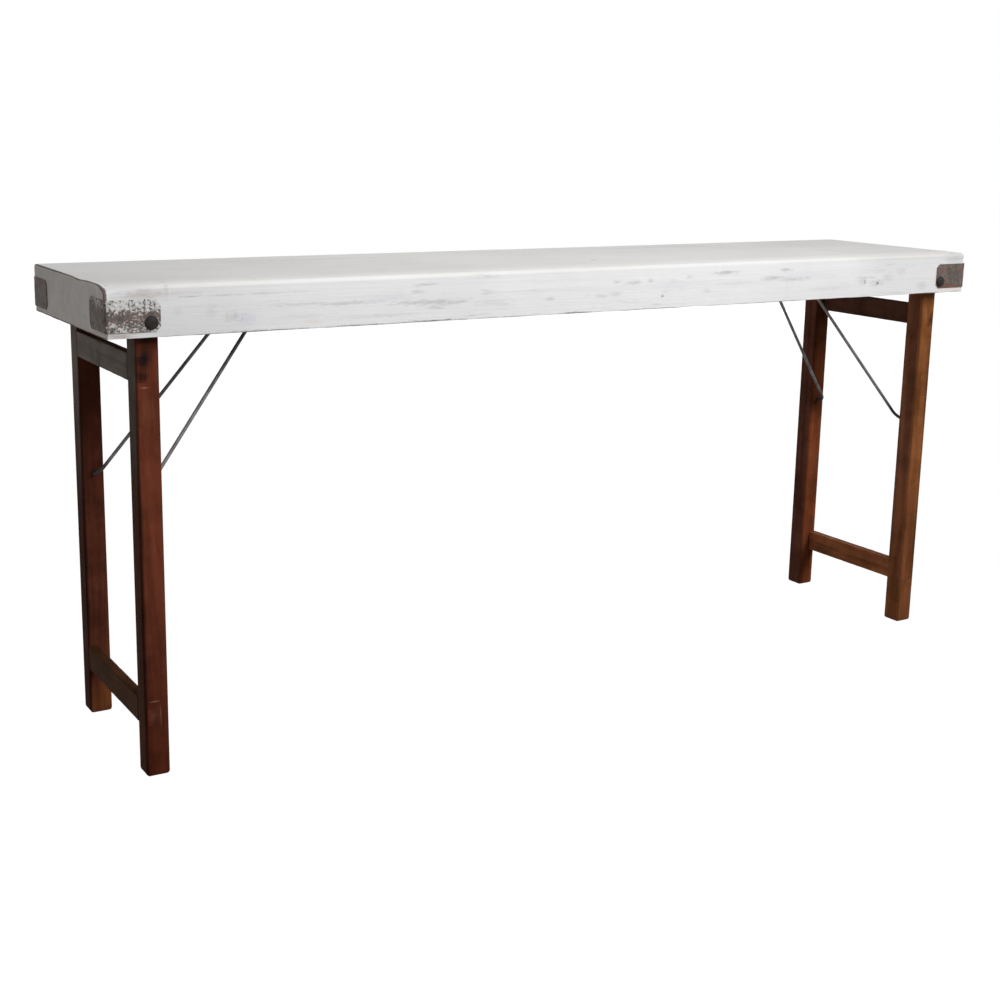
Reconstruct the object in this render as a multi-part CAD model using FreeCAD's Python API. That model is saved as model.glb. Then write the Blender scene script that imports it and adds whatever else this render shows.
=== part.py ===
import FreeCAD, Part
import math
import os

# A folding console table. A shallow tray of boards on rails stands on two ladder
# frames, which fold up into the tray. A bent steel brace holds each frame open.
#
# Millimetres. +X runs along the table, -Y is its front and +Z is up. The origin lies
# on the floor, under the middle of the top. Pieces that come once per corner or once
# per end are built for the back right corner, then mirrored to where they belong.

Vector = FreeCAD.Vector

# Table as a whole
table_length = 1775.0
table_depth = 390.0
table_height = 780.0

# Boards of the top. The front one starts with a short piece at the left end.
board_thickness = 20.0
board_names = ("front_board", "front_middle_board", "back_middle_board", "back_board")
end_piece_length = 100.0
end_edge_round = 8.0
long_edge_round = 4.0

# Rails under the boards
rail_height = 58.0
side_rail_thickness = 22.0
end_rail_thickness = 22.0

# Battens and the cross rail, which tie the boards together
batten_thickness = 14.0
batten_width = 60.0
batten_inset = 240.0
cross_rail_width = 40.0
cross_rail_height = 45.0

# Board nails, with their heads flush with the top
board_nail_diameter = 3.0
board_nail_length = 32.0
board_nail_head_diameter = 6.0
board_nail_head_height = 1.0
side_nail_places = (-700.0, -350.0, 0.0, 350.0, 700.0)

# Corner straps
strap_thickness = 1.5
strap_height = 48.0
strap_rise = 9.0
strap_side_length = 82.0
strap_end_length = 76.0
strap_corner_clip = 7.0

# Strap nails: distance from the table's corner and height above the strap's lower edge
strap_nail_diameter = 2.5
strap_nail_length = 18.0
strap_nail_head_diameter = 6.0
strap_nail_head_height = 1.4
side_nail_spots = ((14.0, 8.0), (14.0, 40.0), (44.0, 8.0), (44.0, 40.0), (68.0, 40.0))
end_nail_spots = ((11.0, 16.0), (11.0, 32.0), (58.0, 8.0), (58.0, 40.0))

# Pivot bolts, with a domed head and a square neck
leg_inset = 67.5
pivot_rise = 22.0
bolt_diameter = 8.0
bolt_head_diameter = 21.0
bolt_head_height = 5.0
bolt_neck_length = 4.0
bolt_neck_clearance = 0.2
bolt_rail_clearance = 0.3
bolt_pivot_clearance = 0.05
bolt_spare_thread = 3.0
spacer_thickness = 1.75
nut_washer_thickness = 1.6
washer_diameter = 24.0
washer_clearance = 0.2
nut_height = 6.5
nut_across_flats = 13.0
pivot_side_play = 0.25

# Legs
leg_width = 38.0
leg_depth = 40.0
leg_edge_round = 2.0

# Rails of the leg frames, with a tenon right through each leg
frame_rail_height = 42.0
frame_rail_thickness = 16.0
frame_rail_edge_round = 1.5
upper_rail_drop = 30.0
lower_rail_rise = 81.5
tenon_thickness = 13.0
tenon_height = 38.0

# Braces: one bent rod each, with its crosspiece under the boards
brace_diameter = 6.0
brace_hook_height = 430.0
brace_pivot_inboard = 258.0
brace_top_half_width = 49.0
brace_foot_half_width = 109.0
brace_top_bend = 14.0
brace_foot_bend = 22.0
brace_board_gap = 0.4
brace_leg_gap = 0.4
brace_hole_depth = 25.0
brace_hole_clearance = 0.4

# Staples that carry the crosspiece
staple_diameter = 3.0
staple_offset = 22.0
staple_depth = 12.0
staple_clearance = 0.05

# Derived places
half_length = table_length / 2
half_depth = table_depth / 2
board_underside = table_height - board_thickness
rail_underside = board_underside - rail_height
rail_inner_y = half_depth - side_rail_thickness
board_width = table_depth / len(board_names)
pivot_x = half_length - leg_inset
pivot_z = rail_underside + pivot_rise
leg_outer_y = rail_inner_y - spacer_thickness - pivot_side_play
leg_inner_y = leg_outer_y - leg_depth
frame_outer_x = pivot_x + leg_width / 2
frame_rail_inner_x = frame_outer_x - frame_rail_thickness
upper_rail_z = rail_underside - upper_rail_drop - frame_rail_height
brace_pivot_x = pivot_x - brace_pivot_inboard
brace_pivot_z = board_underside - brace_board_gap - brace_diameter / 2
strap_z = rail_underside + strap_rise

SIDES = {"left": -1, "right": 1}
FACES = {"front": -1, "back": 1}
UP = Vector(0, 0, 1)
ALONG_X = Vector(1, 0, 0)
ALONG_Y = Vector(0, 1, 0)


# Helpers

def block(x_range, y_range, z_range):
    """A box between two values on each axis."""
    low = Vector(x_range[0], y_range[0], z_range[0])
    high = Vector(x_range[1], y_range[1], z_range[1])
    size = high - low
    return Part.makeBox(size.x, size.y, size.z, low)


def rod(start, direction, length, diameter):
    """A round bar that starts at a point."""
    return Part.makeCylinder(diameter / 2, length, start, direction)


def edges_where(shape, test):
    """The edges of a shape whose bounding box passes a test."""
    return [edge for edge in shape.Edges if test(edge.BoundBox)]


def at(value, place):
    """Whether a coordinate is the given one."""
    return abs(value - place) < 1e-6


def mirrored(shape, side, face=1):
    """A back right piece, mirrored to the named end and face of the table."""
    if side < 0:
        shape = shape.mirror(Vector(), ALONG_X)
    if face < 0:
        shape = shape.mirror(Vector(), ALONG_Y)
    return shape


def at_every_corner(shape):
    """The four copies of a piece that comes once per corner."""
    return [mirrored(shape, side, face) for side in SIDES.values() for face in FACES.values()]


def domed_head(diameter, height):
    """A round head with a domed top, standing on z = 0."""
    radius = diameter / 2
    ball_radius = (radius ** 2 + height ** 2) / (2 * height)
    ball = Part.makeSphere(ball_radius, Vector(0, 0, height - ball_radius))
    return ball.common(rod(Vector(), UP, height, diameter))


def nail(head, shank_diameter, length):
    """A nail with its shank below z = 0 and the given head above."""
    return head.fuse(rod(Vector(0, 0, -length), UP, length, shank_diameter))


def driven(shape, point, outward):
    """A piece modelled along +Z, put at a point and turned to face outward."""
    turned = shape.copy()
    turned.Placement = FreeCAD.Placement(point, FreeCAD.Rotation(UP, outward))
    return turned


def bent_rod(points, bend_radii, diameter):
    """A round rod through the points, bent at each inner one to a radius."""
    edges = []
    start = points[0]
    for before, corner, after, radius in zip(points, points[1:], points[2:], bend_radii):
        way_in = (corner - before).normalize()
        way_out = (after - corner).normalize()
        half_turn = way_in.getAngle(way_out) / 2
        reach = radius * math.tan(half_turn)
        bend_start = corner - way_in * reach
        bend_end = corner + way_out * reach
        to_centre = (way_out - way_in).normalize()
        bend_middle = corner + to_centre * (radius / math.cos(half_turn) - radius)
        edges.append(Part.LineSegment(start, bend_start).toShape())
        edges.append(Part.Arc(bend_start, bend_middle, bend_end).toShape())
        start = bend_end
    edges.append(Part.LineSegment(start, points[-1]).toShape())
    section = Part.Wire(Part.makeCircle(diameter / 2, points[0], points[1] - points[0]))
    return Part.Wire(edges).makePipeShell([section], True, True)


# Nails

def board_nail():
    """A nail with a flat head, whose top is at z = 0."""
    head = rod(Vector(0, 0, -board_nail_head_height), UP, board_nail_head_height, board_nail_head_diameter)
    shank = rod(Vector(0, 0, -board_nail_length), UP, board_nail_length, board_nail_diameter)
    return head.fuse(shank)


def board_nail_points():
    """Where the nails go in: two per board over each cross piece, and a row over each side rail."""
    end_row = half_length - end_rail_thickness / 2
    batten_row = half_length - batten_inset
    rows = (-end_row, -batten_row, 0.0, batten_row, end_row)
    points = []
    for row in rows:
        for number in range(2 * len(board_names)):
            points.append(Vector(row, -half_depth + board_width * (number + 0.5) / 2, table_height))
    side_row = half_depth - side_rail_thickness / 2
    for place in side_nail_places:
        for face in FACES.values():
            points.append(Vector(place, face * side_row, table_height))
    return points


def board_nails():
    """All the nails of the top."""
    return [driven(board_nail(), point, UP) for point in board_nail_points()]


def corner_strap_nails():
    """The nails of the back right strap."""
    head = domed_head(strap_nail_head_diameter, strap_nail_head_height)
    one_nail = nail(head, strap_nail_diameter, strap_nail_length)
    nails = []
    for distance, rise in side_nail_spots:
        point = Vector(half_length - distance, half_depth + strap_thickness, strap_z + rise)
        nails.append(driven(one_nail, point, ALONG_Y))
    for distance, rise in end_nail_spots:
        point = Vector(half_length + strap_thickness, half_depth - distance, strap_z + rise)
        nails.append(driven(one_nail, point, ALONG_X))
    return nails


def strap_nails():
    """The nails of all four straps."""
    return [copy for one_nail in corner_strap_nails() for copy in at_every_corner(one_nail)]


# Pivots

def pivot_point(y):
    """The point of the back right pivot's axis at a given depth."""
    return Vector(pivot_x, y, pivot_z)


def pivot_bolt():
    """The back right bolt: domed head, square neck and a shank that ends past its nut."""
    head_seat = half_depth + strap_thickness
    shank_end = leg_inner_y - pivot_side_play - nut_washer_thickness - nut_height - bolt_spare_thread
    head = driven(domed_head(bolt_head_diameter, bolt_head_height), pivot_point(head_seat), ALONG_Y)
    shank = rod(pivot_point(shank_end), ALONG_Y, head_seat - shank_end, bolt_diameter)
    return head.fuse([shank, bolt_neck(0.0)]).removeSplitter()


def bolt_neck(clearance):
    """The square neck of the back right bolt, or with a clearance the socket it sits in."""
    half_size = bolt_diameter / 2 + clearance
    head_seat = half_depth + strap_thickness
    return block((pivot_x - half_size, pivot_x + half_size),
                 (head_seat - bolt_neck_length - clearance, head_seat),
                 (pivot_z - half_size, pivot_z + half_size))


def washer(y_low, thickness):
    """A back right pivot washer."""
    disc = rod(pivot_point(y_low), ALONG_Y, thickness, washer_diameter)
    hole = rod(pivot_point(y_low), ALONG_Y, thickness, bolt_diameter + 2 * washer_clearance)
    return disc.cut(hole)


def spacer_washer():
    """The washer between the side rail and the leg."""
    return washer(rail_inner_y - spacer_thickness, spacer_thickness)


def nut_washer():
    """The washer between the leg and the nut."""
    return washer(leg_inner_y - pivot_side_play - nut_washer_thickness, nut_washer_thickness)


def pivot_nut():
    """The hexagon nut on the bolt's inner end."""
    low_y = leg_inner_y - pivot_side_play - nut_washer_thickness - nut_height
    corner_radius = nut_across_flats / math.sqrt(3)
    corners = []
    for number in range(7):
        angle = math.radians(60 * number)
        corners.append(pivot_point(low_y) + Vector(math.cos(angle), 0, math.sin(angle)) * corner_radius)
    hexagon = Part.Face(Part.makePolygon(corners)).extrude(ALONG_Y * nut_height)
    return hexagon.cut(rod(pivot_point(low_y), ALONG_Y, nut_height, bolt_diameter))


# Straps

def strap():
    """The back right strap: sheet iron bent round the corner, with clipped ends."""
    bend = long_edge_round
    thickness = strap_thickness
    diagonal = math.sqrt(0.5)

    def arc(radius, first, last):
        centre = Vector(half_length - bend, half_depth - bend, strap_z)
        middle = centre + Vector(diagonal, diagonal, 0) * radius
        return Part.Arc(centre + first * radius, middle, centre + last * radius).toShape()

    def line(first, last):
        start = Vector(first[0], first[1], strap_z)
        return Part.LineSegment(start, Vector(last[0], last[1], strap_z)).toShape()

    side_tip = half_length - strap_side_length
    end_tip = half_depth - strap_end_length
    outline = [
        line((side_tip, half_depth), (half_length - bend, half_depth)),
        arc(bend, ALONG_Y, ALONG_X),
        line((half_length, half_depth - bend), (half_length, end_tip)),
        line((half_length, end_tip), (half_length + thickness, end_tip)),
        line((half_length + thickness, end_tip), (half_length + thickness, half_depth - bend)),
        arc(bend + thickness, ALONG_X, ALONG_Y),
        line((half_length - bend, half_depth + thickness), (side_tip, half_depth + thickness)),
        line((side_tip, half_depth + thickness), (side_tip, half_depth)),
    ]
    plate = Part.Face(Part.Wire(outline)).extrude(UP * strap_height)
    tips = edges_where(plate, lambda box: at(box.ZLength, 0) and (
        (at(box.XMax, side_tip) and at(box.XLength, 0)) or (at(box.YMax, end_tip) and at(box.YLength, 0))))
    plate = plate.makeChamfer(strap_corner_clip, tips)
    return plate.cut([bolt_neck(bolt_neck_clearance)] + corner_strap_nails())


# The tray

def top_blank():
    """All the boards as one slab, with worn rounds along its upper edges and corners."""
    slab = block((-half_length, half_length), (-half_depth, half_depth), (board_underside, table_height))
    end_edges = edges_where(slab, lambda box: at(box.ZMin, table_height) and at(box.XLength, 0))
    slab = slab.makeFillet(end_edge_round, end_edges)
    long_edges = edges_where(slab, lambda box: at(box.ZMin, table_height) and at(box.YLength, 0))
    return slab.makeFillet(long_edge_round, long_edges)


def boards():
    """The boards by name, with the holes of their nails and of the staples."""
    blank = top_blank().cut(board_nails() + staples())
    pieces = {}
    for number, name in enumerate(board_names):
        low_y = -half_depth + number * board_width
        strip = block((-half_length, half_length), (low_y, low_y + board_width), (board_underside, table_height))
        pieces[name] = blank.common(strip)
    joint_x = -half_length + end_piece_length
    end_piece = block((-half_length, joint_x), (-half_depth, half_depth), (board_underside, table_height))
    front_name = board_names[0]
    pieces[front_name + "_end_piece"] = pieces[front_name].common(end_piece)
    pieces[front_name] = pieces[front_name].cut(end_piece)
    return pieces


def side_rail(face):
    """A side rail: it runs the whole length, and its outer corners are rounded."""
    rail = block((-half_length, half_length), (rail_inner_y, half_depth), (rail_underside, board_underside))
    corners = edges_where(rail, lambda box: at(box.YMin, half_depth) and at(box.XLength, 0))
    rail = rail.makeFillet(long_edge_round, corners)
    bolt_hole = rod(pivot_point(rail_inner_y), ALONG_Y, side_rail_thickness,
                    bolt_diameter + 2 * bolt_rail_clearance)
    holes = [bolt_hole, bolt_neck(bolt_neck_clearance)] + corner_strap_nails()
    holes = holes + [mirrored(hole, -1) for hole in holes]
    return mirrored(rail.cut(holes), 1, face).cut(board_nails())


def end_rail(side):
    """An end rail, which fits between the side rails."""
    rail = block((half_length - end_rail_thickness, half_length), (-rail_inner_y, rail_inner_y),
                 (rail_underside, board_underside))
    holes = corner_strap_nails()
    holes = holes + [mirrored(hole, 1, -1) for hole in holes]
    return mirrored(rail.cut(holes), side).cut(board_nails())


def crossing(centre_x, width, thickness):
    """A piece that crosses the underside of the boards between the side rails."""
    piece = block((centre_x - width / 2, centre_x + width / 2), (-rail_inner_y, rail_inner_y),
                  (board_underside - thickness, board_underside))
    return piece.cut(board_nails())


# Leg frames

def tenon(rail_z):
    """A back right tenon, flush with the rail's inner face and the leg's outer face."""
    low_z = rail_z + (frame_rail_height - tenon_height) / 2
    return block((frame_rail_inner_x, frame_rail_inner_x + tenon_thickness), (leg_inner_y, leg_outer_y),
                 (low_z, low_z + tenon_height))


def leg():
    """The back right leg, with its rounded top, mortises, pivot bore and brace hole."""
    post = block((pivot_x - leg_width / 2, frame_outer_x), (leg_inner_y, leg_outer_y), (0, pivot_z))
    rounded_top = rod(pivot_point(leg_inner_y), ALONG_Y, leg_depth, leg_width)
    body = post.fuse(rounded_top).removeSplitter()
    outline = edges_where(body, lambda box: at(box.YLength, 0) or at(box.ZMax, 0))
    body = body.makeFillet(leg_edge_round, outline)
    bore = rod(pivot_point(leg_inner_y), ALONG_Y, leg_depth, bolt_diameter + 2 * bolt_pivot_clearance)
    brace_hole = rod(Vector(pivot_x, leg_inner_y, brace_hook_height), ALONG_Y, brace_hole_depth,
                     brace_diameter + 2 * brace_hole_clearance)
    return body.cut([bore, brace_hole, tenon(upper_rail_z), tenon(lower_rail_rise)])


def frame_rail(rail_z):
    """A rail of the right leg frame, flush with the legs' outer faces."""
    rail = block((frame_rail_inner_x, frame_outer_x), (-leg_inner_y, leg_inner_y),
                 (rail_z, rail_z + frame_rail_height))
    long_edges = edges_where(rail, lambda box: at(box.XLength, 0) and at(box.ZLength, 0))
    rail = rail.makeFillet(frame_rail_edge_round, long_edges)
    return rail.fuse([tenon(rail_z), mirrored(tenon(rail_z), 1, -1)])


# Braces

def brace():
    """The right brace: a crosspiece, two splayed arms and a hook at each leg."""
    top_half, foot_half = brace_top_half_width, brace_foot_half_width
    hook_end = leg_inner_y - brace_leg_gap
    places = [(pivot_x, -hook_end, brace_hook_height), (pivot_x, -foot_half, brace_hook_height),
              (brace_pivot_x, -top_half, brace_pivot_z), (brace_pivot_x, top_half, brace_pivot_z),
              (pivot_x, foot_half, brace_hook_height), (pivot_x, hook_end, brace_hook_height)]
    bends = (brace_foot_bend, brace_top_bend, brace_top_bend, brace_foot_bend)
    return bent_rod([Vector(*place) for place in places], bends, brace_diameter)


def staple(y):
    """A staple round the right brace's crosspiece, driven into the boards."""
    reach = (brace_diameter + staple_diameter) / 2 + staple_clearance
    top = board_underside + staple_depth
    edges = [
        Part.LineSegment(Vector(-reach, 0, top), Vector(-reach, 0, brace_pivot_z)).toShape(),
        Part.Arc(Vector(-reach, 0, brace_pivot_z), Vector(0, 0, brace_pivot_z - reach),
                 Vector(reach, 0, brace_pivot_z)).toShape(),
        Part.LineSegment(Vector(reach, 0, brace_pivot_z), Vector(reach, 0, top)).toShape(),
    ]
    section = Part.Wire(Part.makeCircle(staple_diameter / 2, Vector(-reach, 0, top), UP))
    piece = Part.Wire(edges).makePipeShell([section], True, True)
    return piece.translate(Vector(brace_pivot_x, y, 0))


def staples():
    """The four staples, two on each brace."""
    return [mirrored(staple(y), side) for side in SIDES.values() for y in (-staple_offset, staple_offset)]


# The nodes

def table_nodes():
    """Every sub-part of the table by its name."""
    nodes = boards()
    nodes["middle_cross_rail"] = crossing(0.0, cross_rail_width, cross_rail_height)
    nodes["board_nails"] = Part.makeCompound(board_nails())
    nodes["strap_nails"] = Part.makeCompound(strap_nails())
    nodes["pivot_bolts"] = Part.makeCompound(at_every_corner(pivot_bolt()))
    nodes["spacer_washers"] = Part.makeCompound(at_every_corner(spacer_washer()))
    nodes["nut_washers"] = Part.makeCompound(at_every_corner(nut_washer()))
    nodes["pivot_nuts"] = Part.makeCompound(at_every_corner(pivot_nut()))
    nodes["brace_staples"] = Part.makeCompound(staples())
    for face_name, face in FACES.items():
        nodes[face_name + "_side_rail"] = side_rail(face)
    for side_name, side in SIDES.items():
        nodes[side_name + "_end_rail"] = end_rail(side)
        nodes[side_name + "_batten"] = crossing(side * (half_length - batten_inset), batten_width, batten_thickness)
        nodes[side_name + "_upper_rail"] = mirrored(frame_rail(upper_rail_z), side)
        nodes[side_name + "_lower_rail"] = mirrored(frame_rail(lower_rail_rise), side)
        nodes[side_name + "_brace"] = mirrored(brace(), side)
        for face_name, face in FACES.items():
            nodes[side_name + "_" + face_name + "_leg"] = mirrored(leg(), side, face)
            nodes[side_name + "_" + face_name + "_strap"] = mirrored(strap(), side, face)
    return nodes


def main():
    """Write every sub-part to its own STEP file."""
    os.makedirs("parts", exist_ok=True)
    for name, shape in table_nodes().items():
        shape.exportStep(os.path.join("parts", name + ".step"))
        print(name, "solids", len(shape.Solids), "valid", shape.isValid(), "volume", round(shape.Volume))


main()
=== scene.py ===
"""Dresses the folding console table: a whitewashed plank tray on two stained ladder frames.

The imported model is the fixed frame. Wooden pieces, straps, bolts and nails are modelled again with
worn edges and dents, and the other nodes keep their shape and get their real finish.
"""

from __future__ import annotations

import logging
import math
from contextlib import contextmanager
from dataclasses import dataclass, field
from enum import Enum
from itertools import product
from typing import Callable, ClassVar, Iterator, Sequence

import bmesh
import bpy
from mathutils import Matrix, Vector


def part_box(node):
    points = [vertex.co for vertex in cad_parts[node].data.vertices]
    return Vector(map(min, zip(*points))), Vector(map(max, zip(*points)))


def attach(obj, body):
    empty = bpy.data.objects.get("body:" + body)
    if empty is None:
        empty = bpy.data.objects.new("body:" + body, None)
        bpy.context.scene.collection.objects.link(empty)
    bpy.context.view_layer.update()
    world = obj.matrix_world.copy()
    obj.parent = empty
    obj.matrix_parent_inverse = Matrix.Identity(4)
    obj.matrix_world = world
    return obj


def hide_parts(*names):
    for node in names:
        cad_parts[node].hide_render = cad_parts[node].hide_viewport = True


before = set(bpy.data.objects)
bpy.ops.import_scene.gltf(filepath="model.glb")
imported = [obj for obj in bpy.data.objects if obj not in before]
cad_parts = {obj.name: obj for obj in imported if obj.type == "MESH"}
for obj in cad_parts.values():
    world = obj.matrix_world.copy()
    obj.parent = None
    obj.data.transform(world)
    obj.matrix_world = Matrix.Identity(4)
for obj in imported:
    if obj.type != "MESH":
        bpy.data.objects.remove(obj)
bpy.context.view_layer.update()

LOG = logging.getLogger("console_table")
MM = 0.001
Colour = tuple[float, float, float]
Step = tuple[float, float, float]
Mark = tuple[float, float, float, float, float]
Marks = tuple[Colour, float, tuple[Mark, ...]]
WHITE: Colour = (1.0, 1.0, 1.0)
STAIN_DEPTH = 12 * MM

# How near two places count as one, and which angles count as edges
SAME_PLACE = 0.01 * MM
MERGE_WITHIN = 0.001 * MM
WORN_ANGLE = math.radians(30)
SHARP_ANGLE = math.radians(50)

# The dents' noise level that leaves the surface alone, and the length over which faces wander
KNOCK_LEVEL = 0.35
WANDER_GRAIN = 160 * MM


class Axis(Enum):
    """An axis of the table, by its place in a vector."""

    X = 0
    Y = 1
    Z = 2


class Signed(Enum):
    """A choice that holds a key and a sign along an axis."""

    @property
    def sign(self) -> int:
        """The sign along the axis."""
        return self.value[1]


class Side(Signed):
    """A side of a piece: the axis that it faces along, and which way."""

    LEFT = (0, -1)
    RIGHT = (0, 1)
    FRONT = (1, -1)
    BACK = (1, 1)
    BOTTOM = (2, -1)
    TOP = (2, 1)

    @property
    def axis(self) -> int:
        """The axis that this side faces along."""
        return self.value[0]


class Named(Signed):
    """A choice with a name in the frame."""

    @property
    def label(self) -> str:
        """The name in the frame."""
        return self.value[0]


class End(Named):
    """An end of the table: its name in the frame and its sign along X."""

    LEFT = ("left", -1)
    RIGHT = ("right", 1)


class Face(Named):
    """A long side of the table: its name in the frame and its sign along Y."""

    FRONT = ("front", -1)
    BACK = ("back", 1)


@dataclass(frozen=True)
class Extent:
    """A box in the frame, in metres."""

    low: Vector
    high: Vector

    @classmethod
    def of(cls, *nodes: str) -> Extent:
        """The box round some nodes of the frame.

        Args:
            nodes: Names of nodes.

        Returns:
            The box that holds them all.
        """
        boxes = [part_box(node) for node in nodes]
        low = Vector(min(box[0][axis] for box in boxes) for axis in range(3))
        high = Vector(max(box[1][axis] for box in boxes) for axis in range(3))
        return cls(low, high)

    def at(self, side: Side) -> float:
        """The coordinate of one side."""
        return self.high[side.axis] if side.sign > 0 else self.low[side.axis]

    def inside(self, point: Vector, side: Side) -> float:
        """How far a point lies inside one side."""
        return (self.at(side) - point[side.axis]) * side.sign

    @property
    def middle(self) -> Vector:
        """The box's middle."""
        return (self.low + self.high) / 2

    @property
    def size(self) -> Vector:
        """The box's three sizes."""
        return self.high - self.low


# Shader recipes


class Value:
    """A socket of a material's nodes, so that shader maths reads as Python."""

    def __init__(self, nodes: Nodes, socket: bpy.types.NodeSocket) -> None:
        """Holds the socket that the value comes out of, and the nodes that new maths is added to."""
        self.nodes = nodes
        self.socket = socket

    def _math(self, operation: str, first: Value | float, second: Value | float = 0.0, clamp: bool = False) -> Value:
        """One step of maths."""
        return self.nodes.node("ShaderNodeMath", {"operation": operation, "use_clamp": clamp}, {0: first, 1: second})

    def __add__(self, other: Value | float) -> Value:
        """The sum."""
        return self._math("ADD", self, other)

    def __radd__(self, other: float) -> Value:
        """The sum, with the number first."""
        return self._math("ADD", other, self)

    def __sub__(self, other: Value | float) -> Value:
        """The difference."""
        return self._math("SUBTRACT", self, other)

    def __rsub__(self, other: float) -> Value:
        """The difference from a number."""
        return self._math("SUBTRACT", other, self)

    def __mul__(self, other: Value | float) -> Value:
        """The product."""
        return self._math("MULTIPLY", self, other)

    def __rmul__(self, other: float) -> Value:
        """The product, with the number first."""
        return self._math("MULTIPLY", other, self)

    def __truediv__(self, other: Value | float) -> Value:
        """The quotient."""
        return self._math("DIVIDE", self, other)

    def __abs__(self) -> Value:
        """The size without the sign."""
        return self._math("ABSOLUTE", self)

    def root(self) -> Value:
        """The square root."""
        return self._math("SQRT", self)

    def least(self, other: Value | float) -> Value:
        """The lesser of the two."""
        return self._math("MINIMUM", self, other)

    def most(self, other: Value | float) -> Value:
        """The greater of the two."""
        return self._math("MAXIMUM", self, other)

    def held(self) -> Value:
        """The value, kept between 0 and 1."""
        return self._math("ADD", self, clamp=True)

    def rise(self, start: float, end: float) -> Value:
        """A smooth step.

        Args:
            start: The value at which the step is 0.
            end: The value at which it is 1; it may lie below start.

        Returns:
            The step, from 0 to 1.
        """
        return self.nodes.node(
            "ShaderNodeMapRange",
            {"interpolation_type": "SMOOTHSTEP", "clamp": True},
            {"Value": self, "From Min": start, "From Max": end, "To Min": 0.0, "To Max": 1.0},
        )

    def steps(self, rows: Sequence[Step]) -> Value:
        """The sum of some smooth steps, each with its start, end and height."""
        return sum((self.rise(start, end) * height for start, end, height in rows[1:]),
                   self.rise(*rows[0][:2]) * rows[0][2])


class Nodes:
    """The shader nodes of a material or of the world, built anew."""

    def __init__(self, owner: bpy.types.Material | bpy.types.World) -> None:
        """Clears the owner's nodes.

        Args:
            owner: The material or the world.
        """
        owner.use_nodes = True
        self.tree = owner.node_tree
        self.tree.nodes.clear()

    def node(self, kind: str, settings: dict[str, object], inputs: dict[str | int, object],
             output: str | int = 0) -> Value:
        """Adds one node.

        Args:
            kind: The node's type.
            settings: Its properties, set first.
            inputs: Values or links of its sockets, by name or place.
            output: The socket that comes out.

        Returns:
            The value of that output.
        """
        made = self.tree.nodes.new(kind)
        for key, setting in settings.items():
            setattr(made, key, setting)
        for key, value in inputs.items():
            if isinstance(value, Value):
                self.tree.links.new(value.socket, made.inputs[key])
            else:
                made.inputs[key].default_value = value
        return Value(self, made.outputs[output])

    def seen(self, *rays: str) -> Value:
        """1 for a ray that one of these outputs of the Light Path node stands for, 0 for the others."""
        kinds = [self.node("ShaderNodeLightPath", {}, {}, output=ray) for ray in rays]
        return sum(kinds[1:], kinds[0]).held()

    def show(self, shader: Value, output: str = "ShaderNodeOutputMaterial") -> None:
        """Links a shader to a new output node."""
        self.tree.links.new(shader.socket, self.tree.nodes.new(output).inputs["Surface"])


def rgba(colour: Value | Colour) -> Value | tuple[float, ...]:
    """A colour as a socket takes it: a plain one gets its fourth part."""
    return colour if isinstance(colour, Value) else (*colour, 1.0)


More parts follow.
